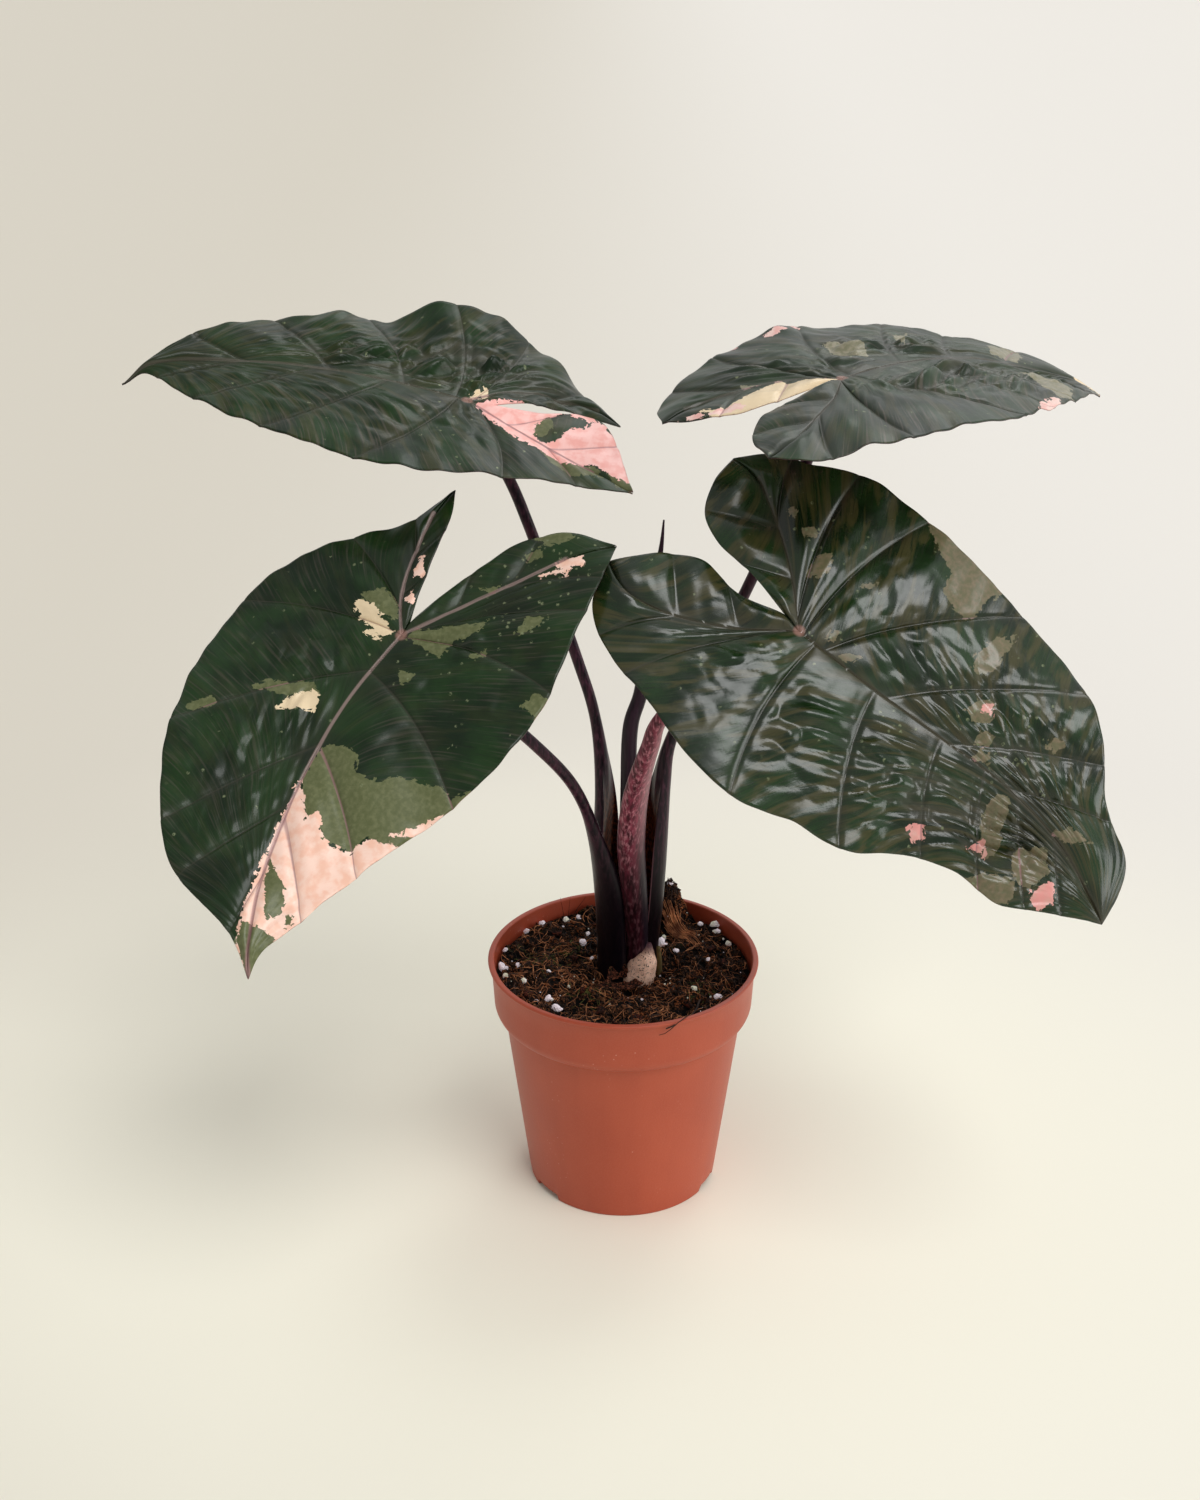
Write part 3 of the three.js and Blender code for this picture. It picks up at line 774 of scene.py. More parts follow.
def petiole_finish(name, dark, light, sheen, mottled):
    """Waxy stalk skin with lengthwise streaks, pale sheath edges and a rusty lining. The sheen
    colour gives both the pale mottling and a painted sheen, in patches and in a line along the
    back; painted shade darkens one side low down and the foot to near black.
    """
    finish = Finish(name, {"Specular IOR Level": 0.2})
    place = finish.place()
    streaks = finish.cloud(finish.stretched(place, (600, 600, 40)), 1, 3)
    blotches = finish.cloud(finish.stretched(place, (900, 900, 260)), 1, 4)
    flecks = finish.cloud(finish.stretched(place, (1300, 1300, 500)), 1, 2)
    along = finish.value("along")
    around = finish.value("around")
    # Painted shade: the foot of each stalk darkens to near black, deeper than its own purple-black, low
    # in the clump.
    foot = 1 - along.rise(45, 105)
    shaded = around.rise(-25, 5) * (1 - along.rise(60, 110)) * mottled
    # Painted sheen: a line of the sheen colour along the back of the stalk's upper part.
    painted_sheen_line = around.bell(28) * along.rise(60, 120)
    rust = finish.layers((58, 22, 14), (flecks.rise(0.4, 0.65), (122, 62, 34)))
    colour = finish.layers(
        dark,
        (streaks.rise(0.35, 0.7), light),
        # The sheen colour: pale mottling, and on the dark stalks a painted sheen in patches.
        (blotches.rise(0.45, 0.75) * mottled, sheen),
        (flecks.rise(0.6, 0.7) * 0.5, dark),
        (foot * (1 - 0.2 * mottled), (2, 0, 2)),
        (shaded, (16, 10, 20)),
        (painted_sheen_line * 0.35, sheen),
        (finish.value("lining").rise(0.3, 0.8), rust),
        (finish.value("edge").rise(0.55, 0.9) * 0.75, (186, 134, 142)))
    finish.feed(finish.shader, {
        "Base Color": colour,
        "Roughness": 0.26 + 0.2 * blotches,
        "Normal": finish.relief(streaks * 0.6 + flecks * 0.4, 0.00025, 0.6),
    })
    return finish


dark_petiole = petiole_finish("petiole_dark", (20, 10, 20), (62, 30, 44), (118, 68, 90), 0.35)
crimson_petiole = petiole_finish("petiole_crimson", (60, 18, 30), (130, 50, 70), (196, 128, 140), 0.9)
for name, stem in petioles.items():
    skin = crimson_petiole if name == "d" else dark_petiole
    finished(petiole_shape(stem), f"petiole_skin_{name}", skin, "petiole", [f"petiole_{name}"])


# Stem: a short, pale, swollen stem stands half out of the mix and carries the stalks. Dry
# brown scraps of old sheaths lean on it, and an olive stub of an old stalk stands beside it.
stem_path = [(5.5, 1, 84), (7, 0, 98), (9, 1, 107), (10, 3, 115)]
stem_radii = (7.5, 7.4, 6, 2.4)


def ring(radius, angle, edge=0):
    """What a stalk's section gives where it is round."""
    turn = math.radians(angle)
    return radius * math.cos(turn), radius * math.sin(turn), edge, 0


def stem_section(share, angle):
    turn = math.radians(angle)
    radius = np.interp(share, (0, 0.45, 0.75, 1), stem_radii)
    radius += 0.35 * noise.noise((2 * math.cos(turn), 2 * math.sin(turn), 9 * share))
    return ring(radius, angle)


stem_finish = Finish("stem", {"Roughness": 0.7})
stem_place = stem_finish.place()
stem_specks = stem_finish.cloud(stem_place, 1300, 2)
stem_blotches = stem_finish.cloud(stem_place, 300, 3)
stem_colour = stem_finish.layers(
    (254, 212, 186),
    (stem_blotches.rise(0.35, 0.7), (222, 176, 150)),
    (stem_specks.rise(0.58, 0.66), (62, 48, 40)),
    (stem_finish.value("along").rise(25, 31), (70, 30, 38)))
stem_finish.feed(stem_finish.shader, {
    "Base Color": stem_colour,
    "Normal": stem_finish.relief(stem_specks + stem_blotches, 0.0006),
})
front = Vector((0, -1, 0))
finished(stalk(stem_path, 48, 60, front, stem_section), "stem", stem_finish, "stem",
         ["stem_base"])

scrap_finish = peat_finish("dry_sheath", (70, 34, 24), (128, 76, 54), (112, 60, 42))
scraps = [
    dict(place=(-3, -3, 103), size=(9, 6), turn=20, lean=58, curl=2.2),
    dict(place=(-4, -12, 101.5), size=(11, 5), turn=-12, lean=8, curl=1.2),
    dict(place=(4, -10, 101), size=(7, 4), turn=35, lean=16, curl=0.8),
]
scrap_shape = bmesh.new()
for scrap in scraps:
    sheet = bmesh.ops.create_grid(scrap_shape, x_segments=12, y_segments=8, size=0.5)
    turn = Matrix.Rotation(math.radians(scrap["turn"]), 4, "Z")
    lean = Matrix.Rotation(math.radians(scrap["lean"]), 4, "X")
    for corner in sheet["verts"]:
        x, y = corner.co.x, corner.co.y
        ragged = 1 + 0.25 * noise.noise((x * 6, y * 6, scrap["turn"]))
        flat = Vector((x * scrap["size"][0] * (1 - 0.5 * y) * ragged,
                       y * scrap["size"][1] * ragged,
                       scrap["curl"] * (x * x * 4 + 0.4 * noise.noise((x * 4, y * 4, 1)))))
        corner.co = Vector(scrap["place"]) + turn @ lean @ flat
bmesh.ops.solidify(scrap_shape, geom=scrap_shape.faces[:], thickness=0.35)
finished(scrap_shape, "dry_scraps", scrap_finish, "stem")

stub_finish = thread_finish("stub", (62, 50, 26), (104, 88, 48))
stub_path = [(16, 3, 97), (16.2, 2.8, 105), (15.6, 2.4, 113)]


def stub_section(share, angle):
    return ring(1.4 - 0.5 * share, angle)


finished(stalk(stub_path, 16, 12, front, stub_section), "old_stub", stub_finish, "stem")


# Spear: the next leaf, still rolled up tight, rises from the middle. One edge of the blade
# runs round it as a fine seam, and it ends in a dark, drawn-out point.
spear_path = [(1, 10, 95), (1, 10, 132), (2, 10, 182), (3, 10, 218), (7, 11, 232),
              (10, 12, 265), (15, 12, 296), (16, 12, 309)]
spear_radii = (3.6, 3.6, 3.6, 3.5, 3.3, 2.6, 1.7, 0.3)
seam_turns = 240


def spear_section(share, angle):
    radius = np.interp(share, np.linspace(0, 1, len(spear_radii)), spear_radii)
    from_seam = (angle - seam_turns * share) % 360
    overlap = 0.45 * math.exp(-from_seam / 70)
    radius += min(overlap, radius * 0.3)
    seam = math.exp(-(min(from_seam, 360 - from_seam) / 9) ** 2)
    return ring(radius, angle, seam * 0.6)


spear_finish = petiole_finish("spear", (22, 13, 22), (44, 26, 38), (72, 46, 64), 0.2)
finished(stalk(spear_path, 48, 120, front, spear_section), "rolled_leaf", spear_finish, "spear",
         ["spear"])


# Leaf blades: thick, waxy blades, each a heart with two back lobes. The midrib and the
# lateral veins lie in grooves on the upper face and stand out below, the blade swells and
# puckers between them, and its margin waves. Each is held at its junction by its petiole.
blade_thickness = 0.5
keel_depth = 1.9
side_rib_depth = 0.55
groove_depth = 0.45
groove_width = 1.1
ripple_height = 1.8
drip_length = 14
pillow_run = 11
pillow_reach = 15
sinus_veins = 3
sinus_gap = 20
pitch = 1.2

# Each leaf has a frame of its own: its origin where the petiole joins, u along the midrib to
# the tip, n out of the upper face, and v across. Outlines are u, v points. The bends are
# curvatures per metre, and the lifts are heights at even steps from the lobe's point to the
# tip, and from the notch along the sinus edge and the lobe's rib. A lateral vein has its u on
# the midrib, its u on the margin and its bow. A blister has its place, size and height.
leaves = {}
leaves["a"] = dict(
    junction=(-65, 34, 353), forward=(-0.98, 0.038, 0.196), upward=(0.179, -0.266, 0.947),
    bends=dict(midrib=1.4, lobes=1.1, across=0.6, twist=-0.7), drip=7,
    midrib=[(0, 0), (30, -4), (60, -6), (90, -5), (115, -2), (132, 4), (141, 6)],
    halves=[dict(
        rib=[(0, 0), (-18, 12), (-38, 24), (-56, 34)],
        sinus=[(-10, 0), (-20, 0), (-33, -1), (-53, -2), (-61, 7), (-68, 28), (-73, 44)],
        sinus_lifts=[0, 1, 4, 4, 3, 2],
        margin=[(-73, 44), (-60, 46), (-38, 48), (-12, 53), (15, 56), (42, 52), (68, 43), (92, 32),
            (115, 19), (131, 7), (141, 6)],
        margin_lifts=[2, 1, 1, 2, 1, 0, 1, 0, 0, 0, 0],
        laterals=[(-36, -50, 2), (-4, -21, 4), (4, 38, 5), (34, 78, 5), (64, 108, 3), (96, 126, 2)],
        swell=1.6, blisters=[(20, 25, 30, 0.7), (80, 10, 26, 0.7)],
    ), dict(
        rib=[(0, 0), (-18, -16), (-38, -27), (-54, -32)],
        sinus=[(-10, 0), (-28, -9), (-42, -16), (-55, -24), (-65, -31)],
        sinus_lifts=[0, 1, -3, -8, -12], rib_lifts=[0, 0, -2, -7, -11],
        margin=[(-65, -31), (-54, -42), (-38, -54), (-12, -61), (15, -62), (42, -57), (68, -48),
            (92, -37), (115, -20), (131, -1), (141, 6)],
        margin_lifts=[-12, -12, -2, 8, 9, -4, 1, -1, 3, 3, 0],
        laterals=[(-34, -48, 2), (-3, -19, 3), (5, 14, 4), (27, 50, 4), (58, 88, 3), (92, 118, 2)],
        swell=2.6,
        blisters=[(0, -22, 26, 2.2), (35, -24, 26, 1.8), (72, -20, 22, 1.2), (-32, -34, 18, 1.4)],
    )],
    sage=[
        [(-20, 6), (-33, -2), (-37, 8), (-32, 18), (-24, 13)],
        [(-31, 27), (-40, 31), (-57, 30), (-60, 38), (-48, 40), (-38, 35)],
        [(-62, 34), (-74, 35), (-75, 46), (-65, 42)],
    ],
    pink=[
        [(-4, 2), (-10, -2), (-30, -8), (-47, -8), (-62, 8), (-76, 28), (-76, 40), (-66, 36), (-57, 30),
            (-48, 31), (-40, 31), (-33, 28), (-24, 23), (-12, 12)],
    ],
    cream=[[(-1, -2), (-2, -7), (-7, -11), (-7, -6)]],
    islands=[
        [(-28, 12), (-33, 2), (-41, -2), (-52, 0), (-50, 7), (-44, 9), (-41, 15), (-37, 21), (-31, 18)],
    ],
    specks=[], faded=((88, 92, 58), (104, 106, 72)), blush=((250, 198, 190), (242, 174, 164)),
    gloss=0.27, sheen=0.2, sheen_streaks=0.34, bronze=0.4, rib_colour=(84, 80, 68),
)
leaves["b"] = dict(
    junction=(-87, -58, 286), forward=(-0.485, -0.626, -0.61), upward=(-0.217, -0.59, 0.778),
    bends=dict(midrib=-0.5, lobes=0.8, across=0.6, twist=-1.5), drip=3,
    midrib=[(0, 0), (30, -4), (60, -3), (90, 2), (116, 9), (136, 18), (145, 22)],
    halves=[dict(
        rib=[(0, 0), (-16, 13), (-34, 28), (-54, 45)],
        sinus=[(-6, 0), (-22, 6), (-40, 15), (-56, 26), (-65, 42), (-67, 60)],
        sinus_lifts=[0, 0, 1, 1, -2],
        margin=[(-67, 60), (-45, 63), (-20, 66), (2, 68), (26, 65), (50, 57), (76, 45), (100, 35),
            (122, 27), (136, 22), (145, 22)],
        margin_lifts=[-2, 0, 2, 1, 1, 0, -2, 0, 0, 0, 0],
        laterals=[(-34, -52, 2), (-2, -37, 4), (1, -1, 5), (19, 54, 6), (55, 94, 4), (86, 118, 2)],
        swell=1.7, blisters=[(10, 35, 34, 0.5), (-30, 35, 24, 0.4)],
    ), dict(
        rib=[(0, 0), (-16, -10), (-36, -16), (-54, -19)],
        sinus=[(-6, 0), (-25, -4), (-45, -8), (-58, -12), (-68, -18)], sinus_lifts=[0, 2, 3, 2, 0],
        margin=[(-68, -18), (-50, -26), (-38, -38), (-22, -56), (2, -69), (28, -72), (54, -68),
            (80, -58), (104, -43), (122, -26), (135, 10), (145, 22)],
        margin_lifts=[0, -1, 1, 0, -2, -1, 1, 0, -2, 0, 0],
        laterals=[(-34, -50, 1), (-9, -32, 2), (0, 11, 4), (18, 70, 7), (54, 108, 5), (80, 124, 3),
            (108, 134, 2)],
        swell=1.9, blisters=[(30, -35, 34, 0.8), (80, -25, 26, 0.7)],
    )],
    sage=[
        [(98, 2), (103, 12), (112, 22), (120, 27), (134, 28), (148, 22), (136, 11), (118, 10)],
        [(54, -2), (50, 7), (52, 13), (59, 16), (58, 23), (52, 32), (49, 47), (51, 53), (42, 62),
            (56, 59), (78, 47), (79, 33), (87, 31), (88, 19), (79, 12), (83, 10), (70, -2)],
        [(-9, -26), (-16, -18), (-11, -9), (-4, -5), (-5, -16)],
        [(0, 2), (-4, 4), (-10, 18), (-18, 31), (-12, 29), (-5, 22), (3, 20), (2, 10)],
        [(45, -43), (39, -38), (32, -21), (35, -16), (41, -22)],
        [(62, -62), (55, -54), (57, -50), (64, -59)],
        [(-58, 26), (-66, 41), (-63, 44), (-56, 36)],
        [(-49, 28), (-54, 32), (-51, 35), (-47, 31)],
        [(-16, 42), (-25, 44), (-29, 52), (-20, 49)],
        [(-1, 30), (-7, 35), (-3, 37)],
        [(14, 8), (13, 15), (20, 13)],
        [(-28, 18), (-34, 26), (-31, 26)],
        [(8, 60), (0, 62), (2, 70), (10, 68)],
    ],
    pink=[
        [(70, -2), (84, 0), (105, 4), (123, 8), (135, 12), (147, 22), (126, 30), (105, 38), (86, 44),
            (76, 50), (79, 33), (87, 31), (88, 19), (79, 12), (83, 9)],
        [(74, 40), (54, 58), (66, 54)],
        [(-50, 42), (-58, 51), (-54, 52), (-49, 46)],
        [(-43, 38), (-51, 48), (-48, 48)],
        [(-25, -9), (-33, -12), (-33, -9), (-26, -6)],
        [(-14, -7), (-17, -5), (-14, -3)],
    ],
    cream=[
        [(-5, -25), (-7, -19), (-2, -8), (0, -3), (3, -7), (1, -18)],
        [(41, -26), (36, -20), (37, -15), (43, -14), (48, -27)],
        [(3, -14), (5, -14), (6, -5)],
    ],
    islands=[
        [(100, 3), (105, 10), (107, 15), (113, 20), (118, 21), (124, 18), (118, 13), (112, 9)],
        [(117, 22), (117, 26), (122, 27), (123, 23)],
        [(128, 10), (136, 13), (148, 22), (129, 27), (127, 18)],
    ],
    specks=[
        [(66, -49), (57, -43), (54, -34), (60, -33), (70, -43)],
        [(-30, 18), (-60, 30), (-62, 56), (-20, 60), (-10, 40)],
        [(10, 30), (20, 50), (40, 40)],
    ],
    faded=((90, 96, 60), (108, 112, 76)), blush=((252, 216, 198), (246, 196, 172)), gloss=0.28,
    sheen=0.26, sheen_streaks=0.22, bronze=0.12, rib_colour=(150, 128, 122),
)
leaves["c"] = dict(
    junction=(85, -2, 372), forward=(0.817, 0.573, 0.068), upward=(-0.023, -0.086, 0.996),
    bends=dict(midrib=3.6, lobes=4.4, across=1.2, twist=1.7), drip=0,
    midrib=[(0, 0), (34, 3), (70, 4), (100, 0), (125, -5), (140, -8)],
    halves=[dict(
        rib=[(0, 0), (-16, 14), (-36, 24), (-54, 31)],
        sinus=[(-8, 0), (-28, 1), (-46, 7), (-58, 17), (-66, 30)], sinus_lifts=[0, 0, 0, 1, 2],
        margin=[(-66, 30), (-57, 45), (-36, 56), (-10, 61), (15, 61), (42, 55), (68, 44), (92, 31),
            (116, 17), (140, -8)],
        margin_lifts=[2, -1, 0, 0, 2, -2, 0, -1, 0, 2, 0],
        laterals=[(-30, -44, 2), (-3, -18, 3), (4, 26, 4), (33, 62, 4), (62, 86, 3), (90, 114, 2)],
        swell=2.0, blisters=[(22, 20, 24, 1.5), (62, 20, 22, 1.5), (-25, 30, 20, 0.8)],
    ), dict(
        rib=[(0, 0), (-16, -14), (-36, -25), (-54, -35)],
        sinus=[(-8, 0), (-30, -3), (-48, -8), (-61, -20), (-68, -38)], sinus_lifts=[0, 0, 1, 2, 3],
        margin=[(-68, -38), (-57, -50), (-36, -57), (-10, -61), (15, -61), (42, -56), (68, -46),
            (92, -35), (116, -23), (140, -8)],
        margin_lifts=[3, -1, 0, 0, 1, 0, 0, 0, 1, 2, 0],
        laterals=[(-30, -50, 2), (-2, -17, 4), (4, 48, 6), (32, 76, 4), (62, 100, 3), (92, 122, 2)],
        swell=2.2, blisters=[(25, -14, 22, 1.9), (62, -15, 24, 1.9), (95, -14, 18, 1.2)],
    )],
    sage=[
        [(23, 38), (27, 32), (31, 22), (25, 13), (18, 18), (17, 30)],
        [(54, 32), (64, 31), (50, 20)],
        [(89, -6), (92, -16), (86, -31), (95, -34), (109, -20), (102, -11)],
        [(95, 16), (106, 19), (114, 18), (111, 12), (99, 2), (95, 6), (88, 7)],
        [(-30, 26), (-26, 20), (-32, 21)],
    ],
    pink=[
        [(8, 58), (16, 62), (17, 57), (10, 55)],
        [(22, 62), (27, 58), (23, 57)],
        [(-9, 62), (-4, 60), (-6, 64)],
        [(70, -40), (86, -34), (78, -44), (60, -50)],
        [(-54, 17), (-62, 24), (-52, 13), (-42, 8), (-44, 12)],
    ],
    cream=[
        [(-54, 20), (-46, 13), (-31, 14), (-20, 16), (-16, 9), (-8, 6), (-2, 0), (-10, -2), (-35, -2),
            (-46, 4), (-54, 10)],
        [(124, -9), (139, -10), (140, -5), (128, -4)],
    ],
    islands=[[(96, 9), (101, 14), (103, 10)], [(104, 12), (108, 17), (108, 11)]],
    specks=[[(80, 12), (100, 24), (124, 8), (110, -4), (90, 2)]],
    faded=((120, 118, 92), (150, 142, 120)), blush=((240, 206, 194), (232, 176, 166)), gloss=0.27,
    sheen=0.32, sheen_streaks=0.5, bronze=0.4, rib_colour=(84, 80, 70),
)
leaves["d"] = dict(
    junction=(66, -64, 290), forward=(0.771, -0.405, -0.491), upward=(0.054, -0.727, 0.685),
    bends=dict(midrib=1.4, lobes=0.6, across=1.7, twist=0.6), drip=1,
    midrib=[(0, 0), (32, 0), (66, 2), (98, 4), (130, 0), (150, -8), (158, -11)],
    halves=[dict(
        rib=[(0, 0), (-18, 18), (-36, 32), (-52, 42)],
        sinus=[(-8, 2), (-28, 7), (-46, 9), (-58, 15), (-65, 30), (-66, 44)],
        sinus_lifts=[0, 0, 0, -1, -2],
        margin=[(-66, 44), (-56, 55), (-40, 62), (-22, 70), (5, 73), (34, 69), (64, 64), (95, 57),
            (114, 45), (133, 24), (151, 13), (156, 2), (158, -11)],
        margin_lifts=[-2, -1, 2, -2, 0, -2, -3, 2, 0, -1, 0],
        laterals=[(-34, -48, 2), (-3, -23, 4), (2, 10, 4), (12, 62, 6), (42, 100, 6), (72, 122, 4),
            (99, 137, 3)],
        swell=3.0, blisters=[(95, 20, 28, 1.6), (48, 22, 24, 0.9), (15, 40, 20, 0.4)],
    ), dict(
        rib=[(0, 0), (-18, -14), (-40, -26), (-62, -32)],
        sinus=[(-8, 2), (-28, -3), (-46, -1), (-60, -8), (-74, -25)], sinus_lifts=[0, 0, 0, 0, 1],
        margin=[(-74, -25), (-68, -42), (-52, -53), (-30, -58), (-4, -66), (21, -68), (44, -60),
            (67, -55), (84, -41), (104, -33), (122, -32), (140, -22), (158, -11)],
        margin_lifts=[1, -2, -1, 2, 4, 0, 0, -3, -3, 0, 0],
        laterals=[(-40, -58, 2), (-2, -41, 4), (8, 20, 5), (37, 64, 5), (68, 90, 4), (88, 114, 3),
            (104, 132, 2), (124, 144, 1)],
        swell=2.9,
        blisters=[(108, -15, 24, 2.4), (74, -30, 26, 1.9), (28, -36, 26, 1.2), (-20, -32, 22, 0.6)],
    )],
    sage=[
        [(8, 75), (13, 74), (32, 70), (51, 68), (48, 60), (47, 48), (40, 47), (33, 50), (30, 59),
            (22, 62), (15, 68)],
        [(57, 39), (60, 49), (65, 56), (66, 44), (66, 34), (60, 31)],
        [(-12, 20), (-14, 29), (-10, 33), (-7, 28), (-7, 22)],
        [(-35, 37), (-34, 40), (-31, 40), (-30, 36)],
        [(-25, 34), (-22, 38), (-19, 35), (-22, 32)],
        [(7, 29), (8, 33), (11, 35), (11, 31)],
        [(10, 4), (9, 8), (12, 9), (13, 4)],
        [(18, 2), (21, 6), (25, 7), (22, 2)],
        [(68, 16), (70, 25), (76, 27), (78, 20), (74, 15)],
        [(78, 8), (78, 15), (83, 18), (83, 12)],
        [(82, 4), (82, 10), (88, 10), (87, 5)],
        [(100, 26), (100, 33), (107, 32), (104, 27)],
        [(100, -14), (97, -7), (97, 0), (101, 2), (105, -3), (107, -10), (111, -20), (107, -23)],
        [(115, -17), (115, -11), (125, -4), (130, -11), (130, -18), (124, -22)],
        [(107, -34), (113, -26), (122, -21), (127, -30), (118, -35)],
        [(123, 2), (126, 8), (136, 9), (129, 2)],
    ],
    pink=[
        [(73, 20), (72, 24), (75, 26), (77, 22)],
        [(130, -22), (131, -16), (135, -13), (138, -18), (135, -24)],
        [(79, -32), (83, -29), (86, -31), (84, -35)],
        [(101, -23), (104, -18), (108, -22)],
    ],
    cream=[], islands=[],
    specks=[
        [(-32, 44), (-20, 42), (-6, 20), (-16, 24)],
        [(44, -8), (50, 2), (72, 3), (70, -7), (58, -10), (48, -14)],
        [(60, 20), (90, 40), (110, 10), (80, 0)],
        [(-4, 6), (10, 14), (20, 6), (4, 0)],
    ],
    faded=((100, 98, 70), (122, 108, 84)), blush=((214, 160, 148), (220, 148, 140)), gloss=0.19,
    sheen=0.45, sheen_streaks=0.08, bronze=0.75, rib_colour=(66, 62, 48),
)


def inside_depth(points, outline):
    """How deep points lie inside an outline, or below zero how far outside it."""
    corners = np.array(outline, float)
    nearest = np.full(len(points), 1e9)
    inside = np.zeros(len(points), bool)
    for start, end in zip(corners, np.roll(corners, -1, axis=0)):
        step = end - start
        share = np.clip(((points - start) @ step) / (step @ step), 0, 1)
        nearest = np.minimum(nearest, np.linalg.norm(points - start - share[:, None] * step, axis=1))
        crosses = (start[1] > points[:, 1]) != (end[1] > points[:, 1])
        with np.errstate(divide="ignore", invalid="ignore"):
            at = start[0] + (points[:, 1] - start[1]) * step[0] / step[1]
        inside ^= crosses & (points[:, 0] < at)
    return np.where(inside, nearest, -nearest)


def deepest(points, outlines):
    fields = [inside_depth(points, outline) for outline in outlines]
    return np.max(fields, axis=0) if fields else np.full(len(points), -20.0)


def away_from(points, line):
    """The distance of each point from the nearest of the line's points."""
    return np.min([np.linalg.norm(points - spot, axis=1) for spot in line], axis=0)


def wavy(lifts, share):
    """Heights at even steps, joined smoothly."""
    step = np.clip(share, 0, 1) * (len(lifts) - 1)
    before = np.minimum(step.astype(int), len(lifts) - 2)
    ease = smoothstep(step - before, 0, 1)
    heights = np.array(lifts, float)
    return heights[before] * (1 - ease) + heights[before + 1] * ease


def quilted(run, reach):
    """0 on the creases between the small pillows of a blade, and up to about 1 inside them."""
    sway = 0.35 * noise.noise((run / 10, reach / 10, 1))
    nearest = noise.voronoi((run / pillow_run + sway, reach / pillow_reach - sway, 5))[0]
    return nearest[1] - nearest[0]


sheet_marks = ("u", "v", "lateral", "run", "reach", "crease")
shell_marks = ("main", "edge", "sage", "pink", "cream", "specks", "under", "pair")


